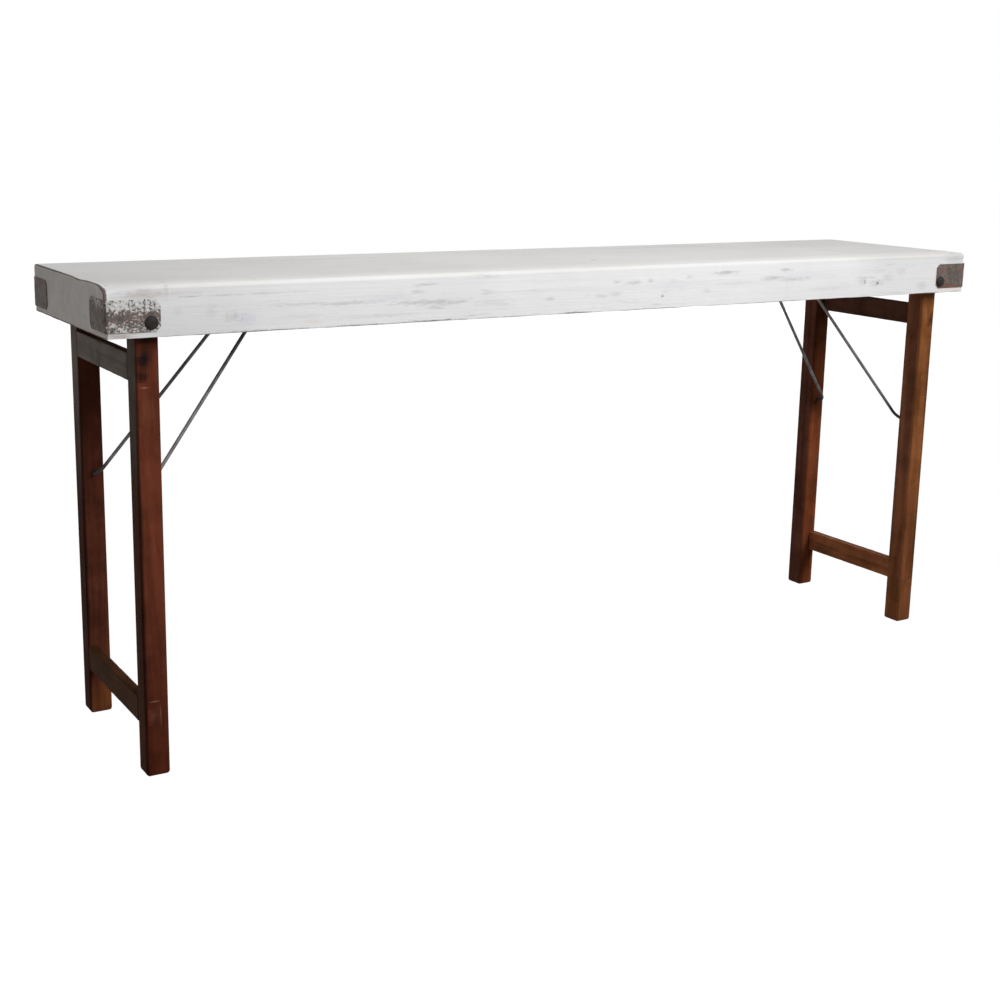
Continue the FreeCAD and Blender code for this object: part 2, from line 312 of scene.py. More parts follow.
class Recipe(Nodes):
    """One material and the nodes that make it."""

    MIX_FACTOR, MIX_FIRST, MIX_SECOND, MIX_RESULT = 0, 6, 7, 2

    def __init__(self, name: str) -> None:
        """Starts the material, with the surface's place in it.

        Args:
            name: The material's name.
        """
        self.material = bpy.data.materials.new(name)
        super().__init__(self.material)
        self.place = self.node("ShaderNodeTexCoord", {}, {}, output="Object")
        self.split = self.node("ShaderNodeSeparateXYZ", {}, {0: self.place}).socket.node
        self.point = self.node("ShaderNodeCombineXYZ", {}, {axis.value: self.part(axis) for axis in Axis})

    def part(self, axis: Axis) -> Value:
        """One coordinate of the surface, in metres."""
        return Value(self, self.split.outputs[axis.value])

    def depth(self, axis: Axis, box: Extent) -> Value:
        """How deep the surface lies inside a box along one axis."""
        return box.size[axis.value] / 2 - abs(self.part(axis) - box.middle[axis.value])

    def past(self, side: Side, box: Extent, start: float, end: float) -> Value:
        """A smooth step from 0 to 1 on the depth under one side of a box, between two depths."""
        return ((box.at(side) - self.part(Axis(side.axis))) * float(side.sign)).rise(start, end)

    def patch(self, stain: Stain, fray: Value) -> Value:
        """How strongly a stain covers the surface.

        Args:
            stain: The stain.
            fray: How far it reaches, about 1, with the noise that frays its rim.

        Returns:
            The cover, from 0 to the stain's strength.
        """
        scale = tuple(1 / reach for reach in stain.reach)
        shift = tuple(-place * factor for place, factor in zip(stain.place, scale))
        inside = self.node("ShaderNodeVectorMath", {"operation": "MULTIPLY_ADD"}, {0: self.point, 1: scale, 2: shift})
        away = self.node("ShaderNodeVectorMath", {"operation": "LENGTH"}, {0: inside}, output="Value")
        return (fray - away).rise(0.0, 1.0) * stain.strength

    def stained(self, colour: Value, stains: Sequence[Stain], frays: Value) -> Value:
        """A colour with stains over it, each kind of stain as one layer.

        Args:
            colour: The colour under them.
            stains: The stains, those of the lowest kind first.
            frays: The noise that frays their rims.

        Returns:
            The stained colour.
        """
        for shade, ragged in dict.fromkeys((stain.colour, stain.ragged) for stain in stains):
            fray = (frays - 0.5) * (5.0 * ragged) + 1.0
            cover: Value | float = 0.0
            for stain in stains:
                if (stain.colour, stain.ragged) == (shade, ragged):
                    cover = self.patch(stain, fray).most(cover)
            colour = self.mix(cover, colour, shade)
        return colour

    def scaled(self, scale: Sequence[float], shift: Sequence[float] = (0.0, 0.0, 0.0)) -> Value:
        """The surface's place, with a factor and then a shift per axis."""
        return self.node("ShaderNodeMapping", {"vector_type": "POINT"},
                         {"Vector": self.place, "Location": tuple(shift), "Scale": tuple(scale)})

    def noise(self, place: Value, scale: float, detail: float, roughness: float, distortion: float = 0.0) -> Value:
        """Cloudy noise from 0 to 1, about 0.5.

        Args:
            place: Where it is read.
            scale: Blotches per unit of length.
            detail: How many finer layers it has.
            roughness: How strong the finer layers are.
            distortion: How far it is swirled.

        Returns:
            The noise.
        """
        return self.node("ShaderNodeTexNoise", {},
                         {"Vector": place, "Scale": scale, "Detail": detail, "Roughness": roughness,
                          "Distortion": distortion})

    def grained(self, grain: Axis, waves: tuple[float, float], detail: float, roughness: float,
                distortion: float = 0.0, shift: Sequence[float] = (0.0, 0.0, 0.0)) -> Value:
        """Noise drawn out along the grain, with its waves per metre along and across it, shifted along each axis."""
        scale = [waves[0] if axis == grain else waves[1] for axis in Axis]
        return self.noise(self.scaled(scale, shift), 1.0, detail, roughness, distortion)

    def mix(self, factor: Value | float, first: Value | Colour, second: Value | Colour) -> Value:
        """Mixes two colours.

        Args:
            factor: 0 for the first, 1 for the second.
            first: The first colour.
            second: The second colour.

        Returns:
            The mixed colour.
        """
        return self.node("ShaderNodeMix", {"data_type": "RGBA", "clamp_factor": True},
                         {self.MIX_FACTOR: factor, self.MIX_FIRST: rgba(first), self.MIX_SECOND: rgba(second)},
                         output=self.MIX_RESULT)

    def shade(self, colour: Value, factor: Value) -> Value:
        """A colour made lighter or darker by a factor."""
        return self.node("ShaderNodeVectorMath", {"operation": "SCALE"}, {0: colour, "Scale": factor})

    def tint(self, colour: Value, factors: Colour) -> Value:
        """A colour with each of its parts multiplied."""
        return self.node("ShaderNodeVectorMath", {"operation": "MULTIPLY"}, {0: colour, 1: factors})

    def height(self, value: Value, distance: float, below: Value | None = None) -> Value:
        """A relief for the Normal socket.

        Args:
            value: The relief, from 0 to 1.
            distance: Its height, in metres.
            below: A relief that this one lies on.

        Returns:
            The bent normal.
        """
        inputs: dict[str | int, object] = {"Height": value, "Distance": distance, "Strength": 1.0}
        if below is not None:
            inputs["Normal"] = below
        return self.node("ShaderNodeBump", {}, inputs)

    def near_edge(self, box: Extent) -> Value:
        """The distance from the surface of a box to the nearest of its edges."""
        first, second, third = (self.depth(axis, box) for axis in Axis)
        return first.least(second).most(first.most(second).least(third))

    def finish(self, colour: Value, roughness: Value, normal: Value, gloss: float,
               metallic: Value | float = 0.0) -> bpy.types.Material:
        """Ends the recipe.

        Args:
            colour: The base colour.
            roughness: The roughness.
            normal: The bent normal.
            gloss: The shader's specular level.
            metallic: 1 where the surface is bare metal.

        Returns:
            The material.
        """
        self.show(self.node("ShaderNodeBsdfPrincipled", {}, {
            "Base Color": colour, "Roughness": roughness, "Metallic": metallic, "Specular IOR Level": gloss,
            "Normal": normal}))
        return self.material


def fade(distance: float, reach: float) -> float:
    """1 at no distance, falling evenly to 0 at the reach."""
    return max(0.0, 1.0 - distance / reach)


@dataclass(frozen=True)
class Stain:
    """A patch of another colour: its middle, its half sizes, its colour, and how strong and how frayed it is."""

    place: tuple[float, float, float]
    reach: tuple[float, float, float]
    colour: Colour
    strength: float
    ragged: float = 1.0


def front_stains(level_y: float, marks: Sequence[Marks], fray: float = 1.0, spread: float = MM) -> list[Stain]:
    """Stains on a front face, from rows in millimetres.

    Args:
        level_y: The face's place along Y, in metres.
        marks: Each kind's colour and fraying, and its rows: middle x and z, half length and height, strength.
        fray: A factor on that fraying.
        spread: The half sizes' unit, in metres.

    Returns:
        The stains.
    """
    return [Stain((x * MM, level_y, z * MM), (length * spread, STAIN_DEPTH, height * spread), colour, strength,
                  fray * ragged)
            for colour, ragged, rows in marks for x, z, length, height, strength in rows]


@dataclass(frozen=True)
class WornCorner:
    """How the tray's left end is worn: its front corner sinks and juts out, and it is hollow near the middle."""

    dip: float = 7 * MM
    dip_reach: float = 48 * MM
    depth: float = 20 * MM
    length: float = 60 * MM
    hollow: float = 1.8 * MM
    hollow_middle: float = -60 * MM
    hollow_reach: float = 50 * MM
    jut: float = 2.6 * MM
    jut_rise: float = 1.6

    def sunk(self, point: Vector, tray: Extent) -> float:
        """How far a point of the boards sinks.

        Args:
            point: The point.
            tray: The tray's box.

        Returns:
            The share of the whole dip.
        """
        height = fade(tray.high.z - point.z, self.depth)
        hollow = fade(abs(point.y - self.hollow_middle), self.hollow_reach)
        hollow = hollow * hollow * (3 - 2 * hollow) * self.hollow / self.dip
        drop = fade(point.y - tray.low.y, self.dip_reach) ** 2 + hollow
        return drop * height * fade(point.x - tray.low.x, self.length) ** 2

    def jutting(self, point: Vector, tray: Extent) -> float:
        """How far a point of the boards juts out, as a share of the whole jut."""
        corner = self.jut_rise * fade(point.y - tray.low.y, self.dip_reach)
        return min(1.0, corner) * fade(point.x - tray.low.x, self.length)


@dataclass(frozen=True)
class Whitewash:
    """White paint, brushed thin over weathered planks, with painted light and shade on the top, along the front edge
    and on the left end face.
    """

    name: str
    grain: Axis
    tray: Extent
    stains: Sequence[Stain] = ()
    paint: Colour = (0.796, 0.794, 0.797)
    highlight_white: Colour = (0.931, 0.929, 0.932)
    dull: Colour = (0.657, 0.654, 0.657)
    top_tint: Colour = (1.010, 1.0, 0.974)
    thin: Colour = (0.47, 0.475, 0.485)
    bare: Colour = (0.050, 0.031, 0.029)
    raw: Colour = (0.36, 0.27, 0.18)
    end_face_painted_light: Colour = (1.13, 1.055, 0.99)
    worn: WornCorner | None = None
    rim: float = 8 * MM
    darker_ends: Sequence[Step] = ((-0.20, -0.62, 0.30), (-0.58, -0.74, 0.60), (0.15, 0.50, 0.36), (0.58, 0.80, 0.34))
    painted_top_light: Sequence[Step] = ((-0.86, -0.66, 0.05), (-0.66, -0.10, 0.03), (0.40, 0.85, -0.09))
    painted_edge_shade: Sequence[Step] = ((-0.45, -0.05, 0.09), (0.50, 0.66, 0.06))

    def material(self) -> bpy.types.Material:
        """Builds the finish.

        Returns:
            The material.
        """
        r = Recipe(self.name)
        streaks = r.grained(self.grain, (1.6, 90.0), 5.0, 0.62, 0.2)
        fibres = r.grained(self.grain, (9.0, 520.0), 4.0, 0.6)
        dashes = r.grained(self.grain, (16.0, 150.0), 4.0, 0.65, shift=(3.1, 1.7, 5.3))
        frays = r.grained(self.grain, (70.0, 330.0), 4.0, 0.7, shift=(1.9, 4.4, 0.7))
        clouds = r.noise(r.place, 5.0, 4.0, 0.6)
        on_top = r.past(Side.TOP, self.tray, 8 * MM, 2 * MM)
        colour = r.mix(self._dullness(r, clouds, streaks, on_top), self.paint, self.dull)
        # Painted highlight along the rounded front edge of the top.
        colour = r.mix(self._painted_edge_highlight(r, on_top), colour, self.highlight_white)
        # Painted light along the top, and painted shade on the rounded front edge.
        round_edge = (r.part(Axis.Y) - self.tray.low.y).most(self.tray.high.z - r.part(Axis.Z)).rise(11 * MM, 4 * MM)
        colour = r.shade(colour, 1.0 + self._painted_light_and_shade(r, on_top, round_edge))
        colour = r.mix(on_top, colour, r.tint(colour, self.top_tint))
        behind = r.past(Side.BACK, self.tray, 3 * MM, 1 * MM)
        worn = dashes.rise(0.56, 0.74) * (clouds + 0.12 * behind).rise(0.44, 0.62) * (1.0 - 0.75 * on_top)
        worn = worn.most(fibres.rise(0.60, 0.80) * clouds.rise(0.48, 0.7) * 0.4)
        colour = r.mix((worn * 0.7).held(), colour, self.thin)
        colour = r.stained(colour, self.stains, frays)
        # The left end face: a lighter, warmer tint as painted light on this shaded face, mottled with smudges.
        end_face = r.past(Side.LEFT, self.tray, 2 * MM, 0.3 * MM)
        smudges = r.noise(r.place, 24.0, 3.0, 0.6)
        lit_and_smudged = r.shade(r.tint(colour, self.end_face_painted_light), 0.60 + 0.30 * clouds + 0.50 * smudges)
        colour = r.mix(end_face, colour, lit_and_smudged)
        colour = r.mix(self._bare_edges(r, dashes, fibres, clouds), colour, self.bare)
        inner = self._inner(r, clouds, fibres)
        raw = r.mix(fibres.rise(0.3, 0.7), self.raw, tuple(0.6 * part for part in self.raw))
        colour = r.mix(inner, colour, raw)
        relief = r.height(fibres, 0.2 * MM, r.height(streaks, 0.6 * MM, r.height(dashes, 0.35 * MM)))
        rough = (0.60 + 0.2 * streaks + 0.1 * inner).held()
        return r.finish(colour, rough, relief, gloss=0.3)

    def _dullness(self, r: Recipe, clouds: Value, streaks: Value, on_top: Value) -> Value:
        """Where the paint is dull: dirty in clouds and streaks, and darker towards both ends.

        Args:
            r: The recipe.
            clouds: Cloudy noise.
            streaks: Noise along the grain.
            on_top: 1 on the tray's top.

        Returns:
            How dull it is, from 0 to 1.
        """
        ends = r.part(Axis.X).steps(self.darker_ends)
        return (clouds.rise(0.35, 0.75) * 0.35 + streaks.rise(0.5, 0.74) * (0.4 - 0.22 * on_top)
                + ends * (1.0 - 0.5 * on_top)).held()

    def _painted_light_and_shade(self, r: Recipe, on_top: Value, round_edge: Value) -> Value:
        """Painted light and shade: the top lighter as painted light, the rounded front edge darker as painted shade
        that tames its highlight, and darker at the right end.

        Args:
            r: The recipe.
            on_top: 1 on the tray's top.
            round_edge: 1 on the rounded front edge.

        Returns:
            The change of the paint's lightness, about 0.
        """
        place = r.part(Axis.X)
        top = place.steps(self.painted_top_light) - r.part(Axis.Y).rise(-0.02, 0.08) * place.rise(-0.2, 0.2) * 0.045
        edge = place.steps(self.painted_edge_shade) + 0.01
        upper = r.part(Axis.Z).rise(0.735, 0.765) * place.rise(0.54, 0.66) * (1.0 - on_top) * 0.07
        return on_top * top - round_edge * edge - upper

    def _painted_edge_highlight(self, r: Recipe, on_top: Value) -> Value:
        """A painted highlight along the rounded front edge of the top, from 0 to 1."""
        near = (r.part(Axis.Y) - self.tray.low.y).most(self.tray.high.z - r.part(Axis.Z))
        return near.rise(70 * MM, 0.0) * near.rise(0.0, 12 * MM) * (0.22 + 0.45 * on_top)

    def _bare_edges(self, r: Recipe, dashes: Value, fibres: Value, clouds: Value) -> Value:
        """Bare wood along the edges of both ends and under the rails.

        Args:
            r: The recipe.
            dashes: Short noise along the grain.
            fibres: Fine noise along the grain.
            clouds: Cloudy noise.

        Returns:
            1 where the wood is bare, 0 where it is painted.
        """
        depth_x, depth_y = r.depth(Axis.X, self.tray), r.depth(Axis.Y, self.tray)
        depth_z = self.tray.high.z - r.part(Axis.Z)
        if self.worn is not None:
            sunk = (1.0 - (r.part(Axis.Y) - self.tray.low.y) / self.worn.dip_reach).most(0.0)
            near = (1.0 - (r.part(Axis.X) - self.tray.low.x) / self.worn.length).most(0.0)
            hollow = (1.0 - abs(r.part(Axis.Y) - self.worn.hollow_middle) / self.worn.hollow_reach).most(0.0)
            hollow = hollow * hollow * (3.0 - hollow * 2.0) * self.worn.hollow
            depth_z = depth_z - (sunk * sunk * self.worn.dip + hollow) * near * near
        ragged = (dashes - 0.5) * (2.0 * MM) + (clouds - 0.5) * (2.5 * MM) + (fibres - 0.5) * (1.5 * MM)
        short_y, short_z = (self.rim - depth_y).most(0.0), (self.rim - depth_z).most(0.0)
        rim = (self.rim - (short_y * short_y + short_z * short_z).root()).least(r.part(Axis.Z) - self.tray.low.z)
        ends = (depth_x.most(rim) + ragged).rise(2.8 * MM, 1.2 * MM)
        ends = ends * (0.9 - 0.6 * r.part(Axis.X).rise(0.0, 0.1))
        low = (r.part(Axis.Z) - self.tray.low.z + ragged * 1.3).rise(1.5 * MM, 0.1 * MM) * 0.85
        low = low * (depth_x.least(depth_y) + ragged * 2.0).rise(5 * MM, 2 * MM)
        return ends.most(low).held()

    def _inner(self, r: Recipe, clouds: Value, fibres: Value) -> Value:
        """Where the brush didn't reach: the tray's inside and underside.

        Args:
            r: The recipe.
            clouds: Cloudy noise.
            fibres: Fine noise along the grain.

        Returns:
            1 where the wood is raw, 0 where it is painted.
        """
        depth_x, depth_y = r.depth(Axis.X, self.tray), r.depth(Axis.Y, self.tray)
        depth = depth_x.least(depth_y).least(self.tray.high.z - r.part(Axis.Z))
        return (depth + (clouds - 0.5) * (8 * MM) + (fibres - 0.5) * (4 * MM)).rise(12 * MM, 15 * MM)


@dataclass(frozen=True)
class FaceTone:
    """One side's colour, and the colour it turns to further down; on the legs and rails these colours carry painted
    light and shade as well as the wood's own tone.
    """

    side: Side
    upper: Colour
    lower: Colour | None = None
    turns_from: float = 0.7
    turns_to: float = 0.4


@dataclass(frozen=True)
class StainedHardwood:
    """Dark, waxed hardwood with a long grain; its side colours and dark edges carry painted light and shade."""

    name: str
    grain: Axis
    box: Extent
    wood: Colour = (0.115, 0.032, 0.014)
    edge: Colour = (0.012, 0.006, 0.004)
    edge_shade_and_grime: float = 0.6
    tones: Sequence[FaceTone] = ()
    stains: Sequence[Stain] = ()
    shift: float = 0.0

    def material(self) -> bpy.types.Material:
        """Builds the finish.

        Returns:
            The material.
        """
        r = Recipe(self.name)
        shift = (self.shift, 2.3 * self.shift, 1.1 * self.shift)
        figure = r.grained(self.grain, (2.6, 38.0), 4.0, 0.55, 0.9, shift)
        fibres = r.grained(self.grain, (14.0, 700.0), 4.0, 0.65, shift=shift)
        pores = r.grained(self.grain, (60.0, 1500.0), 2.0, 0.5, shift=shift)
        blotches = r.noise(r.scaled((13.0, 13.0, 13.0), shift), 1.0, 4.0, 0.6, 0.3)
        colour: Value | Colour = self.wood
        # Each side's colour, with its painted light and shade.
        for tone in self.tones:
            facing = r.past(tone.side, self.box, 4 * MM, 1 * MM)
            face: Value | Colour = tone.upper
            if tone.lower is not None:
                height = r.part(Axis.Z) + (blotches - 0.5) * 0.1
                face = r.mix(height.rise(tone.turns_from, tone.turns_to), tone.upper, tone.lower)
            colour = r.mix(facing, colour, face)
        # Darker along the edges: grime, and painted shade on the rounded corners.
        depth = r.near_edge(self.box) + (blotches - 0.5) * (5 * MM) + (fibres - 0.5) * (1.5 * MM)
        colour = r.mix(depth.rise(3.2 * MM, 0.6 * MM) * self.edge_shade_and_grime, colour, self.edge)
        colour = r.stained(colour, self.stains, blotches * 0.4 + fibres * 0.6)
        light = (0.70 + 0.48 * figure.rise(0.32, 0.68)) * (0.86 + 0.28 * fibres)
        light = light * (1.18 - 0.5 * blotches.rise(0.36, 0.72)) * (1.0 - 0.4 * pores.rise(0.58, 0.75))
        colour = r.shade(colour, light)
        relief = r.height(fibres, 0.12 * MM, r.height(figure, 0.3 * MM))
        rough = (0.44 + 0.25 * fibres + 0.1 * blotches).held()
        return r.finish(colour, rough, relief, gloss=0.01)


@dataclass(frozen=True)
class RawWood:
    """Unpainted softwood, greyed, with a saw's marks across it."""

    name: str
    grain: Axis
    pale: Colour = (0.42, 0.31, 0.20)
    dark: Colour = (0.22, 0.15, 0.09)

    def material(self) -> bpy.types.Material:
        """Builds the finish.

        Returns:
            The material.
        """
        r = Recipe(self.name)
        figure = r.grained(self.grain, (2.5, 45.0), 4.0, 0.6, 0.4)
        fibres = r.grained(self.grain, (12.0, 600.0), 4.0, 0.6)
        saw = r.node("ShaderNodeTexWave", {"bands_direction": self.grain.name},
                     {"Vector": r.place, "Scale": 60.0, "Distortion": 2.0, "Detail": 2.0})
        colour = r.mix(figure.rise(0.35, 0.65), self.pale, self.dark)
        colour = r.mix(fibres.rise(0.5, 0.8) * 0.4, colour, self.dark)
        relief = r.height(saw, 0.12 * MM, r.height(fibres, 0.25 * MM))
        return r.finish(colour, (0.72 + 0.2 * fibres).held(), relief, gloss=0.25)


@dataclass(frozen=True)
class StrapIron:
    """Sheet iron with rust, and with what is left of its white paint; the part on the tray's left end face is darker as
    painted shade.
    """

    name: str
    box: Extent
    bare: float
    painted_to: float = 1.0
    iron: Colour = (0.085, 0.078, 0.073)
    brown: Colour = (0.158, 0.116, 0.100)
    rust: Colour = (0.155, 0.058, 0.036)
    paint: Colour = (0.60, 0.59, 0.575)
    end_face_painted_light: Colour = (0.62, 0.68, 0.62)
    left_paint: Sequence[Step] = ((0.42, 0.85, 0.245), (0.46, 0.16, 0.135))

    def material(self) -> bpy.types.Material:
        """Builds the finish.

        Returns:
            The material.
        """
        r = Recipe(self.name)
        blotches = r.noise(r.place, 62.0, 4.0, 0.65, 0.5)
        grit = r.noise(r.place, 520.0, 3.0, 0.6)
        pits = r.noise(r.scaled((1.0, 1.0, 1.0), (0.3, 0.1, 0.7)), 250.0, 4.0, 0.62, 0.3)
        smears = r.noise(r.scaled((30.0, 30.0, 75.0), (0.2, 0.5, 0.1)), 1.0, 4.0, 0.6, 0.4)
        colour = r.mix(blotches.rise(0.38, 0.62), self.iron, self.brown)
        rust = (smears * 0.65 + pits * 0.35).rise(0.52, 0.60)
        colour = r.mix(rust * 0.85, colour, self.rust)
        level = (r.part(Axis.Z) - self.box.low.z) / self.box.size.z
        end_part = r.past(Side.LEFT, self.box, 3 * MM, 1 * MM)
        unpainted = r.part(Axis.X).rise(self.painted_to, self.painted_to + 0.01)
        hold = (level.steps(self.left_paint) - end_part * 0.13
                + pits + blotches * 0.45 - 0.05 + grit * 0.15 - unpainted)
        # Painted shade: the part on the tray's left end face is darker and greener.
        colour = r.mix(end_part * 0.5, colour, r.tint(colour, self.end_face_painted_light))
        flakes = hold.rise(self.bare - 0.06, self.bare + 0.14)
        colour = r.mix(flakes, colour, self.paint)
        relief = r.height(flakes, 0.3 * MM, r.height(grit, 0.3 * MM, r.height(pits, 0.4 * MM)))
        metal = (0.45 - 0.45 * flakes).held() * (1 - rust)
        return r.finish(colour, (0.55 + 0.3 * grit).held(), relief, metallic=metal, gloss=0.25)


@dataclass(frozen=True)
class Steel:
    """Steel that has darkened, with patches of grime or rust, and with painted shade below a given height."""

    name: str
    base: Colour
    stain: Colour
    metallic: float
    roughness: float
    grain: float = 260.0
    painted_shade_below: float = -1.0

    def material(self) -> bpy.types.Material:
        """Builds the finish.

        Returns:
            The material.
        """
        r = Recipe(self.name)
        grime = r.noise(r.place, self.grain / 6, 4.0, 0.6)
        grit = r.noise(r.place, self.grain * 2, 3.0, 0.6)
        spread = (grime * 0.7 + grit * 0.3).rise(0.42, 0.62)
        colour = r.mix(spread, self.base, self.stain)
        # Painted shade: darker below the given height.
        low = r.part(Axis.Z).rise(self.painted_shade_below + 0.02, self.painted_shade_below)
        colour = r.shade(colour, 1.0 - 0.75 * low)
        rough = (self.roughness + 0.25 * grit + 0.12 * spread).held()
        relief = r.height(grit, 0.12 * MM)
        return r.finish(colour, rough, relief, metallic=(self.metallic - 0.35 * spread).held(), gloss=0.25)


# Working at the bench: pieces are made with the modelling tools


def only(piece: bpy.types.Object) -> None:
    """Selects one piece and nothing else.

    Args:
        piece: The piece.
    """
    bpy.ops.object.select_all(action="DESELECT")
    piece.select_set(True)
    bpy.context.view_layer.objects.active = piece


@contextmanager
def editing(piece: bpy.types.Object, action: str = "DESELECT") -> Iterator[None]:
    """Opens a piece's mesh for editing, and closes it afterwards.

    Args:
        piece: The piece.
        action: What is done with the selection first.

    Yields:
        Nothing, while the mesh is open.
    """
    only(piece)
    bpy.ops.object.mode_set(mode="EDIT")
    bpy.ops.mesh.select_all(action=action)
    yield
    bpy.ops.object.mode_set(mode="OBJECT")


def reach_of(edge: bmesh.types.BMEdge, axis: Axis) -> float:
    """How far an edge reaches along an axis."""
    return abs((edge.verts[0].co - edge.verts[1].co)[axis.value])


def choose_edges(piece: bpy.types.Object, test: Callable[[bmesh.types.BMEdge], bool]) -> None:
    """Selects the edges that pass a test.

    Args:
        piece: The piece that is open for editing.
        test: What an edge has to pass.
    """
    bpy.ops.mesh.select_mode(type="EDGE")
    mesh = bmesh.from_edit_mesh(piece.data)
    for edge in mesh.edges:
        edge.select_set(test(edge))
    bmesh.update_edit_mesh(piece.data)


def added(name: str, kind: str, **settings: object) -> bpy.types.Object:
    """Adds a primitive, with its place in its mesh.

    Args:
        name: The piece's name.
        kind: The primitive's kind.
        settings: What its operator takes.

    Returns:
        The piece.
    """
    bpy.ops.object.select_all(action="DESELECT")
    getattr(bpy.ops.mesh, f"primitive_{kind}_add")(**settings)
    piece = bpy.context.object
    piece.name = piece.data.name = name
    settle(piece)
    return piece


def block(name: str, box: Extent) -> bpy.types.Object:
    """A sawn block that fills a box, the start of a wooden piece."""
    return added(name, "cube", size=1.0, location=box.middle, scale=box.size)


def settle(piece: bpy.types.Object) -> None:
    """Moves a piece's place, turn and scale into its mesh."""
    only(piece)
    bpy.ops.object.transform_apply(location=True, rotation=True, scale=True)


def modify(piece: bpy.types.Object, kind: str, **settings: object) -> None:
    """Adds a modifier and applies it.

    Args:
        piece: The piece.
        kind: The modifier's type.
        settings: Its properties.
    """
    modifier = piece.modifiers.new(kind.lower(), kind)
    for key, setting in settings.items():
        setattr(modifier, key, setting)
    only(piece)
    bpy.ops.object.modifier_apply(modifier=modifier.name)


def weigh(piece: bpy.types.Object, name: str, weight: Callable[[Vector], float]) -> None:
    """Gives each point of a piece a weight.

    Args:
        piece: The piece.
        name: The vertex group's name.
        weight: The weight at a point, from 0 to 1.
    """
    group = piece.vertex_groups.new(name=name)
    for vertex in piece.data.vertices:
        value = max(0.0, min(1.0, weight(vertex.co)))
        if value > 0.0:
            group.add([vertex.index], value, "REPLACE")


def press(piece: bpy.types.Object, grain_size: float, depth: float, group: str, middle: float = 0.5,
          direction: str = "NORMAL", contrast: float = 1.0, layers: int = 2) -> None:
    """Dents a piece with cloudy noise.

    Args:
        piece: The piece.
        grain_size: The size of the dents, in metres.
        depth: Their full depth; below 0 they go inwards where the noise is high.
        group: The vertex group that limits them.
        middle: The noise level that leaves the surface where it is.
        direction: The way that points move.
        contrast: How sharply the dents start.
        layers: How many finer layers the dents have.
    """
    texture = bpy.data.textures.new(f"{piece.name}_{group}", "CLOUDS")
    texture.noise_scale = grain_size
    texture.noise_depth = layers
    texture.contrast = contrast
    modify(piece, "DISPLACE", texture=texture, texture_coords="LOCAL", strength=depth, mid_level=middle,
           direction=direction, vertex_group=group)


class Joinery(Enum):
    """What is done with two closed shells."""

    BORE = "DIFFERENCE"
    WELD = "UNION"
    TRIM = "INTERSECT"


def combine(piece: bpy.types.Object, work: Joinery, other: bpy.types.Object) -> None:
    """Bores, welds or trims a piece with another one, which is used up."""
    modify(piece, "BOOLEAN", operation=work.value, solver="EXACT", object=other)
    bpy.data.objects.remove(other)


def drill(place: Vector, axis: Axis, depth: float, diameter: float) -> bpy.types.Object:
    """A round cutter about a place, along Y or Z."""
    turn = (math.pi / 2 if axis is Axis.Y else 0.0, 0.0, 0.0)
    return added("drill", "cylinder", vertices=32, radius=diameter / 2, depth=depth, location=place, rotation=turn)


def turned(name: str, rings: Sequence[tuple[float, float]], sides: int) -> bpy.types.Object:
    """A piece turned on a lathe: a disc, extruded and scaled ring by ring along Z.

    Args:
        name: The piece's name.
        rings: Radius and height of each ring; the first and the last are closed.
        sides: How many sides the round has.

    Returns:
        The turned piece, standing on the first ring's height.
    """
    radius, height = rings[0]
    piece = added(name, "circle", vertices=sides, radius=radius, fill_type="NGON", location=(0.0, 0.0, height))
    with editing(piece, "SELECT"):
        for next_radius, next_height in rings[1:]:
            bpy.ops.mesh.extrude_region_move(TRANSFORM_OT_translate={"value": (0.0, 0.0, next_height - height)})
            ratio = next_radius / radius
            bpy.ops.transform.resize(value=(ratio, ratio, 1.0), center_override=(0.0, 0.0, next_height))
            radius, height = next_radius, next_height
        bpy.ops.mesh.select_all(action="SELECT")
        bpy.ops.mesh.normals_make_consistent(inside=False)
    return piece


def copy_of(piece: bpy.types.Object, name: str) -> bpy.types.Object:
    """A copy of a piece's mesh in an object of its own.

    Args:
        piece: The piece.
        name: The copy's name.

    Returns:
        The copy.
    """
    twin = bpy.data.objects.new(name, piece.data.copy())
    bpy.context.scene.collection.objects.link(twin)
    return twin


def dress(piece: bpy.types.Object, finish: bpy.types.Material) -> None:
    """Gives a piece its finish, on its one material slot.

    Args:
        piece: The piece.
        finish: The finish.
    """
    if not piece.material_slots:
        piece.data.materials.append(finish)
    for place in piece.material_slots:
        place.material = finish


def smooth(piece: bpy.types.Object, degrees: float = 35.0) -> None:
    """Shades a piece smooth, but keeps its hard edges hard and its flat faces flat.

    Args:
        piece: The piece.
        degrees: The angle past which an edge is hard.
    """
    only(piece)
    bpy.ops.mesh.customdata_custom_splitnormals_clear()
    bpy.ops.object.shade_smooth_by_angle(angle=math.radians(degrees))
    modify(piece, "WEIGHTED_NORMAL", keep_sharp=True)


def install(piece: bpy.types.Object, finish: bpy.types.Material, body: str, slot: Slot, *nodes: str) -> None:
    """Dresses a finished piece and puts it on its body, in place of the frame's nodes.

    Args:
        piece: The finished piece.
        finish: Its finish.
        body: The body that it moves with.
        slot: Its material slot in the record; it is not used.
        nodes: The nodes that it stands for.
    """
    dress(piece, finish)
    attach(piece, body)
    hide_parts(*nodes)
    LOG.info("%s: %d faces, on %s", piece.name, len(piece.data.polygons), body)


def keep(node: str, finish: bpy.types.Material) -> None:
    """Dresses a node of the frame that keeps its shape."""
    dress(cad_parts[node], finish)
    LOG.info("%s: kept as it is", node)


@dataclass(frozen=True)
class Easing:
    """Edges that are worn round together: each place is a side's rim, or the edge where two sides meet."""

    places: tuple[tuple[Side, ...], ...]
    width: float
    steps: int = 4


